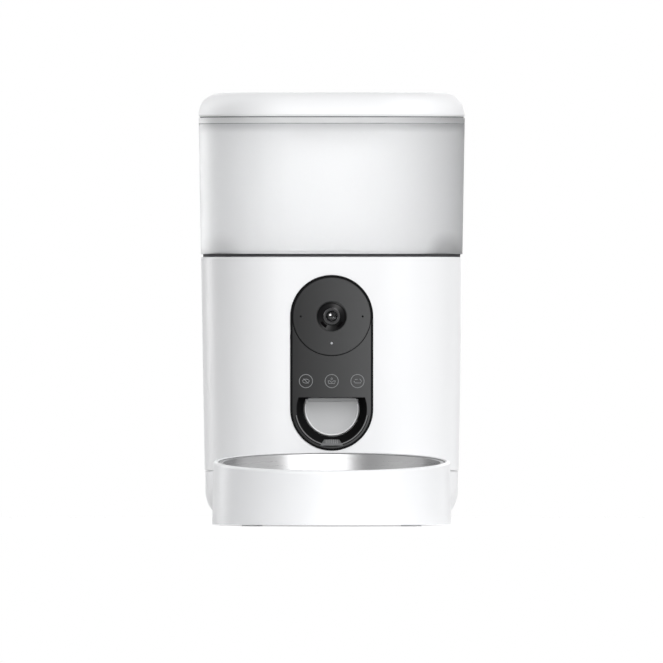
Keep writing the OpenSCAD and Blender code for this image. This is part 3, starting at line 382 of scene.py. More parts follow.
@dataclass(frozen=True)
class TankFrostWithPaintedShade(FrostedPlastic):
    """Frost of the tank, darkened under the rim and in the low corners as painted shade."""

    # Painted shade: the colour is darkened for a band below the rim's groove and in soft round patches near
    # the low corners
    rim_level: float = 294.7 * MM
    rim_fade: float = 7.0 * MM
    rim_painted_shade: float = 0.27
    corners: tuple[Point2, ...] = ((85.0 * MM, 0.25), (-82.0 * MM, 0.12))
    corner_level: float = 199.0 * MM
    corner_core: float = 7.0 * MM
    corner_edge: float = 17.0 * MM

    def tint(self, s: ShaderSheet) -> Socket:
        """Returns the cloudy colour with painted shade: darker towards the rim's groove from below and round
        the low corners.
        """
        axes = s.axes()
        fade = s.remap(axes["Z"], 0.0, 1.0, self.rim_level - self.rim_fade, self.rim_level)
        painted_shade_under_rim = s.reckon("MULTIPLY", fade, s.reckon("LESS_THAN", axes["Z"], self.rim_level))
        colour = s.dim(super().tint(s), painted_shade_under_rim, self.rim_painted_shade)
        flat = s.gather(X=axes["X"], Z=axes["Z"])
        for x, share in self.corners:
            away = s.distance(flat, (x, 0.0, self.corner_level))
            colour = s.dim(colour, s.remap(away, 1.0, 0.0, self.corner_core, self.corner_edge), share)
        return colour


@dataclass(frozen=True)
class SpunSteel(Finish):
    """Polished steel with the rings that spinning leaves round an axis."""

    axis_point: tuple[float, float, float] = (0.0, 0.0, 0.0)
    tilt: float = 0.0
    pull: float = 0.35
    ring_roughness: Point2 = (0.27, 0.336)
    polish: Clouds = Clouds(25.0, 3.0, 0.03, 0.03)
    rings: Grain = Grain(900.0, 3.0, 0.06, 0.02 * MM)

    def lay(self, s: ShaderSheet) -> None:
        """Lays the steel: fine rings round the axis and a soft uneven polish."""
        turn = {"Vector": s.place, "Location": self.axis_point, "Rotation": (self.tilt, 0.0, 0.0)}
        axes = s.axes(s.add("ShaderNodeMapping", turn, vector_type="TEXTURE").outputs[0])
        radius = s.distance(s.gather(X=axes["X"], Y=axes["Y"]))
        section = s.gather(X=radius, Y=axes["Z"])
        inputs = {"Vector": section, "Scale": self.rings.scale, "Detail": self.rings.detail}
        ring = s.add("ShaderNodeTexNoise", inputs, noise_dimensions="2D").outputs["Fac"]
        s.set(metallic=1.0, anisotropic=self.pull, base_color=s.cloudy(self.colour, self.polish),
              roughness=s.remap(ring, *self.ring_roughness))
        s.bump(ring, self.rings)


@dataclass(frozen=True)
class PlainMetal(Finish):
    """Drawn or turned metal for pins, shafts, contacts and cans."""

    line_roughness: Point2 = (0.256, 0.416)
    stretch: tuple[float, float, float] = (1.0, 1.0, 0.1)
    spots: Clouds = Clouds(80.0, 2.0, 0.06, 0.05)
    lines: Grain = Grain(1400.0, 3.0, 0.2, 0.02 * MM)

    def lay(self, s: ShaderSheet) -> None:
        """Lays the metal: drawn lines and a spotted polish."""
        line = s.noise(self.lines.scale, self.lines.detail, self.stretch)
        s.set(metallic=1.0, base_color=s.cloudy(self.colour, self.spots),
              roughness=s.remap(line, *self.line_roughness))
        s.bump(line, self.lines)


@dataclass(frozen=True)
class SoftRubber(Finish):
    """Matt rubber with a fine open grain."""

    roughness: float = 0.82
    specular: float = 0.3
    dust: Clouds = Clouds(120.0, 4.0, 0.12, 0.15)
    pebble: Grain = Grain(2200.0, 2.0, 0.5, 0.05 * MM)

    def lay(self, s: ShaderSheet) -> None:
        """Lays the rubber: a dusty tint and a pebbled skin."""
        s.set(roughness=self.roughness, specular_ior_level=self.specular,
              base_color=s.cloudy(self.colour, self.dust))
        s.roughen(self.pebble)


@dataclass(frozen=True)
class ClearGlass(Finish):
    """Coated optical glass."""

    ior: float = 1.2
    coat_ior: float = 1.35
    coat_roughness: float = 0.19
    roughness: float = 0.02
    smear: Clouds = Clouds(300.0, 2.0, 0.5, 0.5)

    def lay(self, s: ShaderSheet) -> None:
        """Lays the glass: clear and low in mirroring, under a hard coat that softens each glint."""
        s.set(transmission_weight=1.0, ior=self.ior, base_color=(*self.colour, 1.0))
        s.set(coat_weight=1.0, coat_ior=self.coat_ior, coat_roughness=self.coat_roughness)
        s.set(roughness=s.uneven(self.roughness, self.smear))


@dataclass(frozen=True)
class CircuitBoard(Finish):
    """Green solder mask over copper tracks."""

    roughness: float = 0.35
    coat: float = 0.4
    coat_roughness: float = 0.2
    track_edge: Point2 = (0.02, 0.06)
    track_light: float = 0.9
    tracks: Grain = Grain(260.0, 0.0, 0.3, 0.03 * MM)

    def lay(self, s: ShaderSheet) -> None:
        """Lays the board: track lines that lighten the mask and lift it slightly."""
        inputs = {"Vector": s.place, "Scale": self.tracks.scale}
        cells = s.add("ShaderNodeTexVoronoi", inputs, feature="DISTANCE_TO_EDGE")
        line = s.remap(cells.outputs["Distance"], 1.0, 0.0, *self.track_edge)
        s.set(roughness=self.roughness, coat_weight=self.coat, coat_roughness=self.coat_roughness,
              base_color=s.tint(line, self.colour, shade(self.colour, self.track_light)))
        s.bump(line, self.tracks)


@dataclass(frozen=True)
class PrintedInk(Finish):
    """Screen-printed ink with slightly broken edges."""

    roughness: float = 0.6
    specular: float = 0.3
    speckle: Clouds = Clouds(2600.0, 2.0, 0.2, 0.1)

    def lay(self, s: ShaderSheet) -> None:
        """Lays the ink: matt, with a speckle of thin spots."""
        s.set(roughness=self.roughness, specular_ior_level=self.specular,
              base_color=s.cloudy(self.colour, self.speckle))


@dataclass(frozen=True)
class LightPipe(Finish):
    """Milky light pipe of a small indicator, faintly lit."""

    glow: float = 0.07
    roughness: float = 0.35
    milk: Clouds = Clouds(1500.0, 2.0, 0.05, 0.02)

    def lay(self, s: ShaderSheet) -> None:
        """Lays the pipe: a milky body with an even, weak light."""
        s.set(roughness=self.roughness, emission_color=(*self.colour, 1.0), emission_strength=self.glow,
              base_color=s.cloudy(self.colour, self.milk))


class Palette:
    """Makes each finish's material once."""

    def __init__(self) -> None:
        """Starts with no materials."""
        self._made: dict[str, bpy.types.Material] = {}

    def material(self, finish: Finish) -> bpy.types.Material:
        """Returns the finish's material, building it the first time."""
        if finish.name not in self._made:
            self._made[finish.name] = finish.material()
        return self._made[finish.name]


WHITE_GLOSS = MouldedPlastic("white_gloss", (0.87, 0.875, 0.886), roughness=0.34)
TRAY_WHITE = MouldedPlastic("tray_white", (0.815, 0.822, 0.835), roughness=0.34)
WHITE_SATIN = MouldedPlastic("white_satin", (0.895, 0.9, 0.91), roughness=0.5)
# Painted shade: the tank's frost is darkened under the rim's groove and round its low corners
FROST_PAINTED_SHADE = TankFrostWithPaintedShade("frosted_tank", (0.95, 0.955, 0.963))
MILKY = FrostedPlastic("milky_liner", (0.95, 0.955, 0.963), roughness=0.6, density=4.0)
# Painted shade: the panel face runs from a darker tint on the left to a lighter one on the right
SMOKE_FACE_PAINTED_SHADE = SmokedPlasticWithPaintedShade("smoke_face", (0.016, 0.016, 0.0165), roughness=0.5, specular=0.2)
DARK_TRIM = MouldedPlastic("dark_trim", (0.006, 0.006, 0.0065), roughness=0.4, specular=0.04)
PIT_BLACK = MouldedPlastic("pit_black", (0.013, 0.013, 0.0135), roughness=0.7, specular=0.0)
# Painted highlight: the outlet's edge bead is a lighter grey than the face around it
EDGE_GREY_PAINTED_HIGHLIGHT = MouldedPlastic("edge_grey", (0.2, 0.203, 0.206), roughness=0.4, specular=0.3)
GREY_SATIN = MouldedPlastic("grey_satin", (0.5, 0.505, 0.51), roughness=0.45, specular=0.4)
FLAP_SATIN = MouldedPlastic("flap_satin", (0.38, 0.384, 0.39), roughness=0.42, specular=0.3)
# Painted highlight: the flap's edge bead is a lighter grey than the flap itself
FLAP_RIM_PAINTED_HIGHLIGHT = MouldedPlastic("flap_rim", (0.62, 0.624, 0.63))
LIP_GREY = MouldedPlastic("lip_grey", (0.155, 0.157, 0.16), roughness=0.5, specular=0.3)
RIB_GREY = MouldedPlastic("rib_grey", (0.42, 0.423, 0.426), roughness=0.5, specular=0.3)
IVORY = MouldedPlastic("ivory_plastic", (0.78, 0.75, 0.66), roughness=0.4)
LENS_BLACK = MouldedPlastic("lens_black", (0.004, 0.004, 0.0045), roughness=0.2, specular=0.07)
BARREL_GREY = MouldedPlastic("barrel_grey", (0.03, 0.03, 0.031), specular=0.35)
LENS_TURNING = TurnedPlastic("lens_turning", (0.0004, 0.0004, 0.00045), roughness=0.42, specular=0.05)
WINDOW_DARK = MouldedPlastic("window_dark", (0.002, 0.0015, 0.002), roughness=0.2, specular=0.03)
LENS_CORE = MouldedPlastic("lens_core", (0.003, 0.003, 0.005), roughness=0.06, specular=0.1)
STEEL = PlainMetal("plain_steel", (0.6, 0.61, 0.62))
BRASS = PlainMetal("brass", (0.72, 0.55, 0.26))
RUBBER = SoftRubber("soft_rubber", (0.045, 0.045, 0.047))
GREY_RUBBER = SoftRubber("grey_rubber", (0.75, 0.755, 0.76))
# Painted shade: a dark cord round the bowl's rim, a line where the shade between tray and bowl falls
CORD_GREY_PAINTED_SHADE = SoftRubber("cord_grey", (0.28, 0.283, 0.286))
# Painted shade: a grey cord in the hopper's rim groove, a dark line where the groove's shade falls
RIM_GREY_PAINTED_SHADE = SoftRubber("rim_grey", (0.46, 0.464, 0.468))
# Partly painted shade: the real lid seal is given a dark grey so that the gap under the lid reads as a dark
# line
SEAL_GREY_PAINTED_SHADE = SoftRubber("seal_grey", (0.2, 0.202, 0.205))
SLEEVE = MouldedPlastic("cell_sleeve", (0.06, 0.07, 0.08), roughness=0.35, coat=0.3)
BOARD = CircuitBoard("solder_mask", (0.02, 0.11, 0.06))
GLASS = ClearGlass("coated_glass", (0.96, 0.97, 1.0))
INK = PrintedInk("key_ink", (0.24, 0.245, 0.25))
PIPE = LightPipe("light_pipe", (0.4, 0.41, 0.43))

# A quarter of a circle, and the angles up to which edges are shaded smooth, in degrees
QUARTER = 90.0
EDGE_ANGLE = 30.0
BEAD_ANGLE = 50.0
# A box whose corners count up through its height first, then its length, then its width
BOX_FACES: Faces = [(0, 2, 3, 1), (4, 5, 7, 6), (1, 3, 7, 5), (0, 4, 6, 2), (0, 1, 5, 4), (2, 6, 7, 3)]
# Points closer than the first length are merged, and edges shorter than the second dissolved
MERGE = 0.0001 * MM
SLIVER = 0.00001 * MM


@dataclass
class Shape:
    """Vertices and faces of one mesh, in the row frame."""

    points: list[Vector] = field(default_factory=list)
    faces: Faces = field(default_factory=list)

    def add(self, points: Iterable[Vector], faces: Faces) -> None:
        """Adds points with their faces, whose indices count from the first new point."""
        base = len(self.points)
        self.points.extend(points)
        self.faces.extend(tuple(i + base for i in f) for f in faces)

    def sweep(self, line: Sequence[Point2], section: Sequence[Point2], place: Place, closed: bool) -> None:
        """Adds a solid with an even section along a level line.

        Args:
            line: the solid's middle line.
            section: pairs of a distance to the line's left and a height, in order round the section.
            place: turns two coordinates and a height into a point.
            closed: whether the line joins its own start.
        """
        n, m = len(line), len(section)
        points = [
            place(u - run.y * side, v + run.x * side, h)
            for (u, v), run in zip(line, directions(line, closed)) for side, h in section
        ]
        faces: Faces = []
        for i in range(n if closed else n - 1):
            a, b = i * m, ((i + 1) % n) * m
            faces += [(a + k, b + k, b + (k + 1) % m, a + (k + 1) % m) for k in range(m)]
        if not closed:
            faces += [tuple(range(m)), tuple(range(n * m - 1, (n - 1) * m - 1, -1))]
        self.add(points, faces)

    def ribbon(self, line: Sequence[Point2], width: float, place: Place, low: float, high: float,
               closed: bool = False) -> None:
        """Sweeps a flat band of a width, between two heights, along a line."""
        half = width / 2
        self.sweep(line, [(half, low), (half, high), (-half, high), (-half, low)], place, closed)

    def bead(self, line: Sequence[Point2], radius: float, place: Place, height: float,
             closed: bool = False, steps: int = 10) -> None:
        """Sweeps a round bead of a radius, at a height, along a line."""
        self.sweep(line, [(side, height + up) for side, up in circle(radius, steps)], place, closed)

    def lathe(self, profile: Sequence[Point2], place: Place, steps: int = 64) -> None:
        """Revolves a closed profile of radius and height, which may touch the axis.

        Args:
            profile: pairs of radius and height, in order round the section.
            place: turns two coordinates across the axis and a height into a point.
            steps: points round the axis.
        """
        n = len(profile)
        points = [
            place(r * math.cos(math.tau * k / steps), r * math.sin(math.tau * k / steps), h)
            for k in range(steps) for r, h in profile
        ]
        faces: Faces = [
            (k * n + i, ((k + 1) % steps) * n + i, ((k + 1) % steps) * n + (i + 1) % n, k * n + (i + 1) % n)
            for k in range(steps) for i in range(n)
        ]
        self.add(points, faces)

    def build(self, name: str, smooth_angle: float = EDGE_ANGLE) -> bpy.types.Object:
        """Makes the mesh object, with doubled points merged.

        Args:
            name: the piece's name.
            smooth_angle: edges flatter than this many degrees are shaded smooth.

        Returns:
            The new object, at the row frame's origin.
        """
        mesh = bpy.data.meshes.new(name)
        mesh.from_pydata([tuple(p) for p in self.points], [], self.faces)
        work = bmesh.new()
        work.from_mesh(mesh)
        bmesh.ops.remove_doubles(work, verts=work.verts, dist=MERGE)
        bmesh.ops.dissolve_degenerate(work, edges=work.edges, dist=SLIVER)
        bmesh.ops.recalc_face_normals(work, faces=work.faces)
        work.to_mesh(mesh)
        work.free()
        mesh.polygons.foreach_set("use_smooth", [True] * len(mesh.polygons))
        mesh.set_sharp_from_angle(angle=math.radians(smooth_angle))
        piece = bpy.data.objects.new(name, mesh)
        bpy.context.scene.collection.objects.link(piece)
        return piece


def directions(line: Sequence[Point2], closed: bool) -> list[Vector]:
    """Returns the unit direction of a level line at each of its points."""
    n = len(line)
    runs = []
    for i in range(n):
        before = line[i - 1] if closed or i else line[i]
        after = line[(i + 1) % n] if closed or i < n - 1 else line[i]
        runs.append(Vector((after[0] - before[0], after[1] - before[1])).normalized())
    return runs


def arc(centre: Point2, radius: float, start: float, end: float, steps: int) -> list[Point2]:
    """Returns points along an arc, with angles in degrees."""
    angles = [math.radians(start + (end - start) * i / steps) for i in range(steps + 1)]
    return [(centre[0] + radius * math.cos(a), centre[1] + radius * math.sin(a)) for a in angles]


def circle(radius: float, steps: int) -> list[Point2]:
    """Returns points round a circle."""
    return arc((0.0, 0.0), radius, 0.0, 4 * QUARTER, steps)[:-1]


class Workshop:
    """Holds the frame and the palette, and dresses nodes and pieces."""

    def __init__(self, frame: dict) -> None:
        """Keeps the frame.
        """
        self.nodes: dict[str, bpy.types.Object] = frame["nodes"]
        self.joints = {j["name"]: j for j in frame["joints"]}
        self.palette = Palette()

    def dress(self, finish: Finish, *names: str) -> None:
        """Gives nodes a finish.

        Args:
            finish: the finish.
            names: the nodes.
        """
        for name in names:
            node = self.nodes[name]
            node.data.materials.clear()
            node.data.materials.append(self.palette.material(finish))
            LOG.info("dressed %s in %s", name, finish.name)

    def add(self, shape: Shape, name: str, finish: Finish, body: str, slot: str,
            smooth_angle: float = EDGE_ANGLE) -> bpy.types.Object:
        """Builds a new piece that rides on a body.

        Args:
            shape: the piece's mesh.
            name: the piece's name.
            finish: its finish.
            body: the body it moves with.
            slot: the record's material slot; not used.
            smooth_angle: edges flatter than this many degrees are shaded smooth.

        Returns:
            The piece.
        """
        piece = shape.build(name, smooth_angle)
        piece.data.materials.append(self.palette.material(finish))
        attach(piece, body)
        LOG.info("built %s on %s, %d faces", name, body, len(piece.data.polygons))
        return piece


class SubAssembly:
    """Nodes that belong together, in their finishes, and the pieces added to them.

    Attributes:
        coats: the nodes that each finish goes on.
        shop: what dresses the nodes and adds the pieces.
    """

    coats: dict[Finish, tuple[str, ...]] = {}
    shop: Workshop

    def build(self) -> None:
        """Dresses the nodes and adds the pieces."""
        for finish, names in self.coats.items():
            self.shop.dress(finish, *names)
        self.trim()

    def trim(self) -> None:
        """Adds the pieces that the frame doesn't have, where there are any."""


class KeyMark(Enum):
    """Symbols printed on the touch keys."""

    HIDE = "hide"
    SERVE = "serve"
    REPEAT = "repeat"

    def lines(self) -> list[tuple[list[Point2], bool]]:
        """Returns the symbol's lines on a key of radius 1, each with whether it is closed."""
        if self is KeyMark.HIDE:
            upper = arc((0.0, -0.38), 0.68, 40, 140, 10)
            lower = arc((0.0, 0.38), 0.68, 220, 320, 10)
            return [(upper + lower[1:-1], True), ([(-0.36, 0.36), (0.36, -0.36)], False)]
        if self is KeyMark.SERVE:
            drop = [(0.0, 0.52), (0.13, 0.34), (0.0, 0.16), (-0.13, 0.34)]
            bowl = [(-0.54, 0.08), (-0.46, -0.36), (0.46, -0.36), (0.54, 0.08)]
            fill = [(-0.5, 0.04), (-0.28, 0.04), (0.0, -0.2), (0.28, 0.04), (0.5, 0.04)]
            return [(drop, True), (bowl, False), (fill, False)]
        loop = [(-0.56, 0.02), (-0.34, -0.28), (0.44, -0.28), (0.62, 0.0), (0.34, 0.34)]
        head = [(-0.4, 0.24), (0.02, 0.28)]
        return [(loop, False), (head, False)]


@dataclass
class PanelFace:
    """The plane of the front panel, measured on the camera disc."""

    lean: float = math.radians(1.0)

    def __post_init__(self) -> None:
        """Finds the lens axis and the face's plane from the disc's box."""
        low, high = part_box("camera_disc")
        self.radius = (high.x - low.x) / 2
        thickness = ((high.y - low.y) - 2 * self.radius * math.sin(self.lean)) / math.cos(self.lean)
        self.right = Vector((1.0, 0.0, 0.0))
        self.up = Vector((0.0, -math.sin(self.lean), math.cos(self.lean)))
        self.out = Vector((0.0, -math.cos(self.lean), -math.sin(self.lean)))
        self.lens = (low + high) / 2 + self.out * (thickness / 2)

    def at(self, u: float, v: float, lift: float) -> Vector:
        """Returns the point at u to the right and v above the lens axis, lifted off the face."""
        return self.lens + self.right * u + self.up * v + self.out * lift


@dataclass
class LensGroup(SubAssembly):
    """The optics in the barrel: a domed front glass, a stepped black cone and a hollow inner glass."""

    shop: Workshop
    face: PanelFace
    radius: float = 4.1 * MM
    dome: float = 6.56 * MM
    sink: float = 0.1 * MM
    glass: float = 0.65 * MM
    cone_top: float = 2.0 * MM
    step_in: float = 0.6 * MM
    step_down: float = 0.9 * MM
    riser: float = 0.54 * MM
    steps: int = 4

    def trim(self) -> None:
        """Replaces the plain glass by the three optical pieces."""
        front, cone, core = Shape(), Shape(), Shape()
        outside = self.dome_line(self.radius, self.dome, -self.sink)
        inside = self.dome_line(self.radius, self.dome - self.glass, -self.sink - self.glass)
        front.lathe(outside + inside[::-1], self.face.at)
        stairs = [(self.radius, -self.cone_top)]
        for i in range(1, self.steps + 1):
            level = -self.cone_top - i * self.step_down
            inner = self.radius - i * self.step_in
            stairs += [(inner, level + self.riser), (inner, level)]
        inner, level = stairs[-1]
        bottom = level - self.step_down
        cone.lathe(stairs + [(inner, bottom), (self.radius, bottom)], self.face.at)
        dish = [(r, 2 * level - h) for r, h in self.dome_line(inner, self.dome, level)]
        core.lathe(dish + [(inner, bottom), (0.0, bottom)], self.face.at)
        piece = self.shop.add(front, "lens_front", GLASS, "housing", "lens")
        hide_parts("lens_glass")
        self.shop.add(cone, "lens_cone", LENS_BLACK, "housing", "dark_trim")
        self.shop.add(core, "lens_core", LENS_CORE, "housing", "lens")

    @staticmethod
    def dome_line(radius: float, sphere: float, top: float, steps: int = 12) -> list[Point2]:
        """Returns a dome's half section from the axis outward.

        Args:
            radius: the dome's edge radius.
            sphere: the radius of its sphere.
            top: height of its top.
            steps: parts of the line.

        Returns:
            Pairs of radius and height.
        """
        radii = [radius * i / steps for i in range(steps + 1)]
        return [(r, top - sphere + math.sqrt(sphere * sphere - r * r)) for r in radii]


@dataclass
class CameraPanel(SubAssembly):
    """The dark panel: camera disc, lens, microphones, indicator and touch keys."""

    coats = {
        DARK_TRIM: ("panel_bezel", "lens_mount"),
        SMOKE_FACE_PAINTED_SHADE: ("camera_disc", "key_plate"),
        LENS_TURNING: ("lens_ring",),
        BARREL_GREY: ("lens_barrel",),
        WINDOW_DARK: ("infrared_windows",),
        GLASS: ("lens_glass",),
        PIPE: ("status_light",),
        PIT_BLACK: ("microphones",),
        BOARD: ("camera_board", "infrared_board", "key_board"),
        BRASS: ("key_springs",),
    }
    shop: Workshop
    face: PanelFace
    key_pitch: float = 18.9 * MM
    key_drop: float = 47.4 * MM
    key_radius: float = 4.85 * MM
    ring_line: float = 0.46 * MM
    ring_steps: int = 48
    mark_line: float = 0.42 * MM
    ink_height: float = 0.05 * MM

    def trim(self) -> None:
        """Adds the optics and the key marks."""
        LensGroup(self.shop, self.face).build()
        self.key_marks()

    def key_marks(self) -> None:
        """Prints a ring and a symbol on each touch key."""
        rings, marks = Shape(), Shape()
        for step, mark in zip((-1, 0, 1), KeyMark):
            middle = step * self.key_pitch

            def place(u: float, v: float, h: float, at: float = middle) -> Vector:
                """Returns a point on this key's face."""
                return self.face.at(at + u, v - self.key_drop, h)

            ring = circle(self.key_radius, self.ring_steps)
            rings.ribbon(ring, self.ring_line, place, -self.ink_height, self.ink_height, True)
            for line, closed in mark.lines():
                scaled = [(u * self.key_radius, v * self.key_radius) for u, v in line]
                marks.ribbon(scaled, self.mark_line, place, -self.ink_height, self.ink_height, closed)
        self.shop.add(rings, "key_rings", INK, "housing", "light_pipe")
        self.shop.add(marks, "key_marks", INK, "housing", "light_pipe")


@dataclass
class Outlet(SubAssembly):
    """The food outlet: throat, spout lip and hanging flap, with their fine trims."""

    coats = {
        PIT_BLACK: ("outlet_throat",),
        LIP_GREY: ("outlet_lip",),
        FLAP_SATIN: ("outlet_flap",),
        STEEL: ("flap_pin",),
        GREY_SATIN: ("chute",),
    }
    shop: Workshop
    face: PanelFace
    drop: float = 68.0 * MM
    edge_radius: float = 26.4 * MM
    edge_bead: float = 0.36 * MM
    edge_sink: float = 0.1 * MM
    edge_span: float = 160.0
    groove_radius: float = 27.25 * MM
    groove_width: float = 0.55 * MM
    groove_lift: float = 0.03 * MM
    flap_radius: float = 19.3 * MM
    flap_face: float = -21.4 * MM
    flap_bead: float = 0.65 * MM
    flap_span: float = 200.0
    arc_steps: int = 72
    ribs_beside: int = 3
    rib_pitch: float = 1.35 * MM
    rib_width: float = 0.5 * MM
    rib_height: float = 0.22 * MM
    rib_sink: float = 0.1 * MM
    rib_back: Point2 = (-90.7 * MM, -11.2 * MM)
    rib_front: Point2 = (-93.05 * MM, 0.2 * MM)

    def trim(self) -> None:
        """Adds the trims of edge, flap and lip."""
        self.edge()
        self.flap_edge()
        self.lip_ribs()

    def lower_arc(self, radius: float, span: float) -> list[Point2]:
        """Returns the lower part of a circle round the outlet's middle, of a span in degrees."""
        return arc((0.0, -self.drop), radius, -QUARTER - span / 2, -QUARTER + span / 2, self.arc_steps)

    def edge(self) -> None:
        """Adds the fine bead, in a lighter grey as a painted highlight along the lower edge, and the groove
        round the outlet's lower edge.
        """
        bead, groove = Shape(), Shape()
        bead_line = self.lower_arc(self.edge_radius, self.edge_span)
        groove_line = self.lower_arc(self.groove_radius, self.edge_span)
        bead.bead(bead_line, self.edge_bead, self.face.at, -self.edge_sink)
        groove.ribbon(groove_line, self.groove_width, self.face.at, -self.edge_sink, self.groove_lift)
        self.shop.add(bead, "outlet_edge", EDGE_GREY_PAINTED_HIGHLIGHT, "housing", "smoke_face", BEAD_ANGLE)
        self.shop.add(groove, "outlet_groove", PIT_BLACK, "housing", "dark_trim")

    def flap_edge(self) -> None:
        """Adds the glossier bead along the flap's edge, in a lighter grey than the flap as a painted
        highlight.
        """
        bead = Shape()
        line = self.lower_arc(self.flap_radius, self.flap_span)
        bead.bead(line, self.flap_bead, self.face.at, self.flap_face)
        self.shop.add(bead, "flap_edge", FLAP_RIM_PAINTED_HIGHLIGHT, "flap", "white_gloss", BEAD_ANGLE)

    def lip_ribs(self) -> None:
        """Adds the fine ribs that run down the spout lip."""
        ribs = Shape()
        slope = (Vector(self.rib_front) - Vector(self.rib_back)).normalized()
        rise = (slope.y * self.rib_height, -slope.x * self.rib_height)
        for k in range(-self.ribs_beside, self.ribs_beside + 1):
            points = []
            for side in (-0.5, 0.5):
                u = k * self.rib_pitch + side * self.rib_width
                for v, lift in (self.rib_back, self.rib_front):
                    points.append(self.face.at(u, v - self.rib_sink, lift))
                    points.append(self.face.at(u, v + rise[0], lift + rise[1]))
            ribs.add(points, BOX_FACES)
        self.shop.add(ribs, "lip_ribs", RIB_GREY, "housing", "grey_plastic")


@dataclass
class Lid(SubAssembly):
    """The lid with its liner, seal and drying box."""

    coats = {
        WHITE_SATIN: ("lid_cover",),
        MILKY: ("lid_liner", "dry_box"),
        SEAL_GREY_PAINTED_SHADE: ("lid_seal",),
        GREY_SATIN: ("dry_cap",),
    }
    shop: Workshop


@dataclass
class TowerPlan:
    """The tower's rounded outline, measured on the hopper."""

    corner_x: float = 34.7 * MM
    corner_y: float = 21.0 * MM
    draft: float = math.radians(1.0)

    def __post_init__(self) -> None:
        """Finds the tower's middle and its corner radius at the hopper's top."""
        low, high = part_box("hopper_tank")
        self.middle = (low + high) / 2
        self.top = high.z
        self.top_radius = (high.x - low.x) / 2 - self.corner_x

    def outline(self, z: float, inset: float, steps: int = 16) -> list[Point2]:
        """Returns the outline at a height.

        Args:
            z: the height.
            inset: distance inside the wall.
            steps: parts of each corner.

        Returns:
            The outline's points, anticlockwise.
        """
        radius = self.top_radius + (z - self.top) * math.tan(self.draft) - inset
        line: list[Point2] = []
        for i, (sx, sy) in enumerate(((1, 1), (-1, 1), (-1, -1), (1, -1))):
            centre = (self.middle.x + sx * self.corner_x, self.middle.y + sy * self.corner_y)
            line += arc(centre, radius, QUARTER * i, QUARTER * (i + 1), steps)
        return line


@dataclass
class Hopper(SubAssembly):
    """The frosted tank with its dosing cup and wheel."""

    coats = {
        FROST_PAINTED_SHADE: ("hopper_tank",),
        WHITE_GLOSS: ("portion_cup",),
        GREY_SATIN: ("drop_baffle",),
        IVORY: ("portion_wheel",),
        RUBBER: ("vane_tips",),
        STEEL: ("stirrer",),
    }
    shop: Workshop
    rim_band: float = 4.4 * MM
    shade_cord_radius: float = 0.3 * MM
    shade_cord_inset: float = 0.45 * MM

    def trim(self) -> None:
        """Lays a grey cord in the hopper's rim groove as painted shade: a dark line where the groove's shade
        falls.
        """
        plan = TowerPlan()
        level = plan.top - self.rim_band
        cord = Shape()
        line = plan.outline(level, self.shade_cord_inset)
        cord.bead(line, self.shade_cord_radius, lambda x, y, z: Vector((x, y, z)), level, closed=True)
        self.shop.add(cord, "rim_cord", RIM_GREY_PAINTED_SHADE, "hopper", "rubber", BEAD_ANGLE)


@dataclass
class Housing(SubAssembly):
    """The tower's covers, base, feet and fittings."""

    coats = {
        WHITE_GLOSS: ("front_cover", "rear_housing", "base_pan", "cell_door"),
        RUBBER: ("hopper_gasket", "base_feet", "reset_button"),
        GREY_SATIN: ("inner_deck",),
        STEEL: ("power_port", "deck_screws", "door_pin", "cell_contacts"),
        SLEEVE: ("cells",),
    }
    shop: Workshop
    tongue_width: float = 5.4 * MM
    tongue_height: float = 0.7 * MM
    tongue_length: float = 4.6 * MM
    tongue_depth: float = 1.2 * MM

    def trim(self) -> None:
        """Adds the flat contact tongue inside the power inlet."""
        low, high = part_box("power_port")
        middle = (low + high) / 2
        half, end = self.tongue_width / 2, high.y - self.tongue_depth
        tongue = Shape()
        tongue.ribbon([(-half, 0.0), (half, 0.0)], self.tongue_height,
                      lambda x, z, y: Vector((middle.x + x, y, middle.z + z)), end - self.tongue_length, end)
        self.shop.add(tongue, "inlet_tongue", DARK_TRIM, "housing", "dark_trim")


@dataclass
class Drive(SubAssembly):
    """Motor, gear train and boards inside the tower."""

    coats = {
        STEEL: ("motor", "idler_pin", "drive_shaft"),
        BRASS: ("motor_pinion", "shaft_bush"),
        IVORY: ("idler_gear", "output_gear"),
        GREY_SATIN: ("gear_case", "gear_cover"),
        BOARD: ("main_board",),
        DARK_TRIM: ("reset_switch", "speaker"),
    }
    shop: Workshop


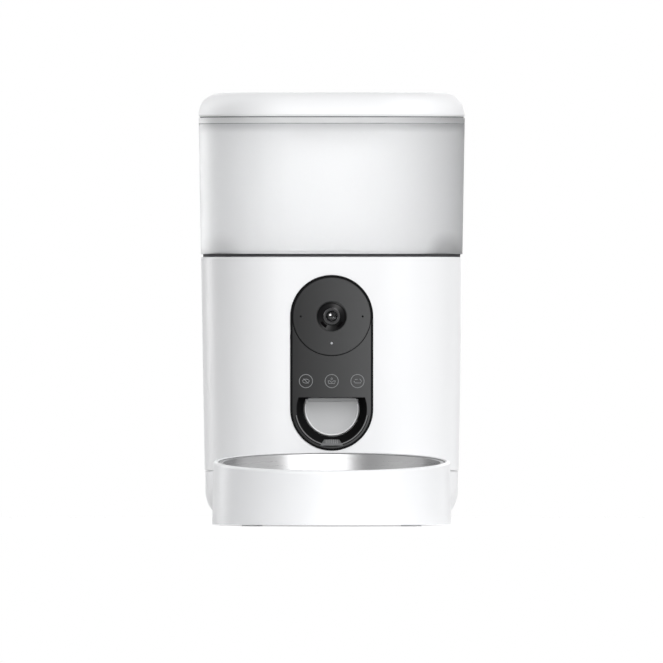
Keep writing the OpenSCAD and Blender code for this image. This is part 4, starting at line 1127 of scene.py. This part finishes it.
@dataclass
class Tray(SubAssembly):
    """The round tray with its foot strips and steel bowl."""

    coats = {TRAY_WHITE: ("tray_shell", "tray_floor"), GREY_RUBBER: ("tray_feet",)}
    shop: Workshop
    shade_cord_radius: float = 0.35 * MM
    shade_cord_inset: float = 0.1 * MM
    cord_lift: float = 0.2 * MM
    shade_cord_steps: int = 96
    steel: Colour = (0.45, 0.45, 0.455)

    def trim(self) -> None:
        """Dresses the bowl in steel that is spun round its own axis, and lays a dark cord round its rim as
        painted shade.
        """
        rise = Vector(self.shop.joints["bowl_lift"]["axis"])
        low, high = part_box("steel_bowl")
        steel = SpunSteel("spun_steel", self.steel, tuple((low + high) / 2), math.atan2(-rise.y, rise.z))
        self.shop.dress(steel, "steel_bowl")
        self.bowl_cord(rise)

    def bowl_cord(self, rise: Vector) -> None:
        """Lays a dark grey cord round the bowl's rim as painted shade: a dark line where the shade between
        the tray's rim and the bowl falls.

        Args:
            rise: the direction in which the bowl lifts out.
        """
        low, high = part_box("steel_bowl")
        radius = (high.x - low.x) / 2
        across = Vector((0.0, rise.z, -rise.y))
        middle = Vector(((low.x + high.x) / 2, (low.y + high.y) / 2, high.z - radius * across.z))

        def place(u: float, v: float, h: float) -> Vector:
            """Returns a point at a height over the plane of the bowl's rim."""
            return middle + Vector((u, 0.0, 0.0)) + across * v + rise * h

        cord = Shape()
        line = circle(radius - self.shade_cord_inset, self.shade_cord_steps)
        cord.bead(line, self.shade_cord_radius, place, self.cord_lift, closed=True)
        self.shop.add(cord, "bowl_cord", CORD_GREY_PAINTED_SHADE, "bowl", "rubber", BEAD_ANGLE)


LENS_PIECES = ("lens_front", "lens_core")
FLAP_PIECES = ("outlet_flap", "flap_edge")
TANK_PIECES = ("hopper_tank",)


class LightRole(Enum):
    """What a lamp does in the studio."""

    KEY = "key"
    EDGE = "edge"
    TOP = "top"
    RIM = "rim"
    REAR = "rear"
    BACK = "back"
    TANK_KEY = "tank_key"
    TANK_EDGE = "tank_edge"
    LID_EDGE = "lid_edge"
    BROW = "brow"
    BOUNCE = "bounce"
    FEET = "feet"
    GLINT = "glint"
    SPARK = "spark"
    CRESCENT = "crescent"
    SHEEN = "sheen"


@dataclass(frozen=True)
class SoftLamp:
    """One rectangular lamp aimed at the object.

    Attributes:
        role: what it does.
        azimuth: degrees from the front, to the right.
        elevation: degrees above its target.
        distance: metres from its target.
        width: its width in metres.
        height: its height in metres.
        watts: its power.
        lift: metres by which it and its target are raised.
        only: the pieces that it lights, where it doesn't light all.
        skip: the pieces that it leaves out.
    """

    role: LightRole
    azimuth: float
    elevation: float
    distance: float
    width: float
    height: float
    watts: float
    lift: float = 0.0
    only: tuple[str, ...] = ()
    skip: tuple[str, ...] = ()

    def build(self, target: Vector) -> None:
        """Makes the lamp, which lights all pieces, only some or all but some.

        Args:
            target: the point that it faces, unless it is lifted.
        """
        data = bpy.data.lights.new(self.role.value, "AREA")
        data.shape = "RECTANGLE"
        data.size = self.width
        data.size_y = self.height
        data.energy = self.watts
        lamp = bpy.data.objects.new(self.role.value, data)
        a, e = math.radians(self.azimuth), math.radians(self.elevation)
        back = Vector((math.sin(a) * math.cos(e), -math.cos(a) * math.cos(e), math.sin(e)))
        lamp.location = target + Vector((0.0, 0.0, self.lift)) + back * self.distance
        lamp.rotation_euler = (-back).to_track_quat("-Z", "Y").to_euler()
        bpy.context.scene.collection.objects.link(lamp)
        if self.only or self.skip:
            linked = bpy.data.collections.new(f"{self.role.value}_linked")
            for name in self.only or self.skip:
                linked.objects.link(bpy.data.objects[name])
            for entry in linked.collection_objects:
                entry.light_linking.link_state = "INCLUDE" if self.only else "EXCLUDE"
            lamp.light_linking.receiver_collection = linked


@dataclass
class Studio:
    """Floor, white surroundings, lamps and camera."""

    frame_pixels: float = 663.0
    pixel: float = 0.7313 * MM
    distance: float = 20.0
    plane_y: float = -50.0 * MM
    middle_x: float = -0.15 * MM
    middle_z: float = 141.9 * MM
    ambient: float = 0.06
    front_dim: float = 0.15
    front_reach: Point2 = (-1.0, -0.35)
    floor_radius: float = 1.3
    floor_steps: int = 96
    floor_drop: float = 0.05 * MM
    floor_fade: Point2 = (0.3, 0.9)
    floor_colour: Colour = (0.9, 0.9, 0.9)
    floor_roughness: float = 0.9
    floor_specular: float = 0.1
    floor_glow: float = 0.5
    sensor: float = 36.0
    clip_reach: float = 3.0
    lamps: tuple[SoftLamp, ...] = (
        SoftLamp(LightRole.KEY, 14.0, 20.0, 2.0, 2.6, 1.4, 45.0, skip=(*LENS_PIECES, *TANK_PIECES)),
        SoftLamp(LightRole.TANK_KEY, 4.0, 18.0, 2.0, 2.0, 1.4, 40.5, only=TANK_PIECES),
        SoftLamp(LightRole.EDGE, -128.0, 24.0, 1.5, 0.5, 1.6, 9.0),
        SoftLamp(LightRole.TOP, 80.0, 58.0, 1.8, 1.2, 1.2, 8.0, skip=TANK_PIECES),
        SoftLamp(LightRole.RIM, 132.0, 10.0, 1.5, 0.5, 1.6, 2.2, skip=TANK_PIECES),
        SoftLamp(LightRole.REAR, 172.0, 15.0, 2.2, 1.6, 1.2, 9.0, skip=TANK_PIECES),
        SoftLamp(LightRole.BACK, 180.0, 12.0, 0.45, 0.05, 0.25, 0.19, only=TANK_PIECES),
        SoftLamp(LightRole.TANK_EDGE, -140.0, 20.0, 1.5, 0.4, 1.6, 10.0, only=TANK_PIECES),
        SoftLamp(LightRole.LID_EDGE, -122.0, 14.0, 1.5, 0.4, 1.2, 5.0, only=("lid_cover",)),
        SoftLamp(LightRole.BROW, 1.0, 0.0, 0.115, 0.07, 0.006, 0.034, lift=0.155, only=TANK_PIECES),
        SoftLamp(LightRole.BOUNCE, 0.0, -4.0, 1.0, 0.4, 0.1, 3.6, only=FLAP_PIECES),
        SoftLamp(LightRole.FEET, 0.0, -15.0, 0.53, 0.4, 0.01, 0.5, only=("tray_feet",)),
        SoftLamp(LightRole.GLINT, -20.0, 18.0, 1.6, 0.2, 0.2, 80.0, only=LENS_PIECES),
        SoftLamp(LightRole.SPARK, 18.0, -18.0, 0.35, 0.05, 0.05, 0.6, only=LENS_PIECES),
        SoftLamp(LightRole.CRESCENT, -50.0, 20.0, 1.6, 0.15, 0.5, 12.0, only=(*LENS_PIECES, "lens_barrel")),
        SoftLamp(LightRole.SHEEN, 20.0, 32.0, 1.6, 0.5, 0.5, 220.0, only=("lens_ring",)),
    )

    def build(self) -> None:
        """Makes the whole studio."""
        bpy.context.scene.view_settings.view_transform = "Standard"
        self.world()
        self.floor()
        for lamp in self.lamps:
            lamp.build(Vector((0.0, 0.0, self.middle_z)))
        self.camera()

    def world(self) -> None:
        """White surroundings with a low fill light, dimmer in front of the object for mirrors and glass."""
        world = bpy.data.worlds.new("studio")
        bpy.context.scene.world = world
        s = NodeSheet(world, "ShaderNodeOutputWorld", "ShaderNodeBackground", "Generated")
        behind = s.remap(s.axes()["Y"], self.front_dim, 1.0, *self.front_reach)
        mirrored = s.seen(("Is Glossy Ray", "Is Transmission Ray"), self.ambient, behind)
        s.set(color=(1.0, 1.0, 1.0, 1.0), strength=s.seen(("Is Camera Ray",), mirrored, 1.0))

    def floor(self) -> None:
        """A pale round floor that fades into the white and keeps the object's shadow."""
        shape = Shape()
        rim = [Vector((x, y, 0.0)) for x, y in circle(self.floor_radius, self.floor_steps)]
        shape.add(rim, [tuple(range(len(rim)))])
        floor = shape.build("floor")
        floor.location.z = -self.floor_drop
        s = ShaderSheet("pale_floor")
        s.set(roughness=self.floor_roughness, specular_ior_level=self.floor_specular,
              base_color=(*self.floor_colour, 1.0), emission_color=(1.0, 1.0, 1.0, 1.0))
        rays = ("Is Camera Ray", "Is Glossy Ray", "Is Transmission Ray")
        s.set(emission_strength=s.seen(rays, 0.0, self.floor_glow),
              alpha=s.remap(s.distance(s.place), 1.0, 0.0, *self.floor_fade))
        floor.data.materials.append(s.material)

    def camera(self) -> None:
        """A long lens level with the picture's middle."""
        data = bpy.data.cameras.new("camera")
        data.sensor_width = self.sensor
        data.lens = self.sensor * self.distance / (self.frame_pixels * self.pixel)
        data.clip_end = self.distance * self.clip_reach
        camera = bpy.data.objects.new("camera", data)
        camera.location = (self.middle_x, self.plane_y - self.distance, self.middle_z)
        camera.rotation_euler = (math.radians(QUARTER), 0.0, 0.0)
        bpy.context.scene.collection.objects.link(camera)
        bpy.context.scene.camera = camera


def main() -> None:
    """Loads the frame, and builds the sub-assemblies and the studio."""
    logging.basicConfig(level=logging.INFO, format="%(name)s: %(message)s")
    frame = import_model()
    shop = Workshop(frame)
    face = PanelFace()
    for part in (Lid(shop), Hopper(shop), Housing(shop), CameraPanel(shop, face), Outlet(shop, face),
                 Drive(shop), Tray(shop)):
        part.build()
    Studio().build()


if __name__ == "__main__":
    main()
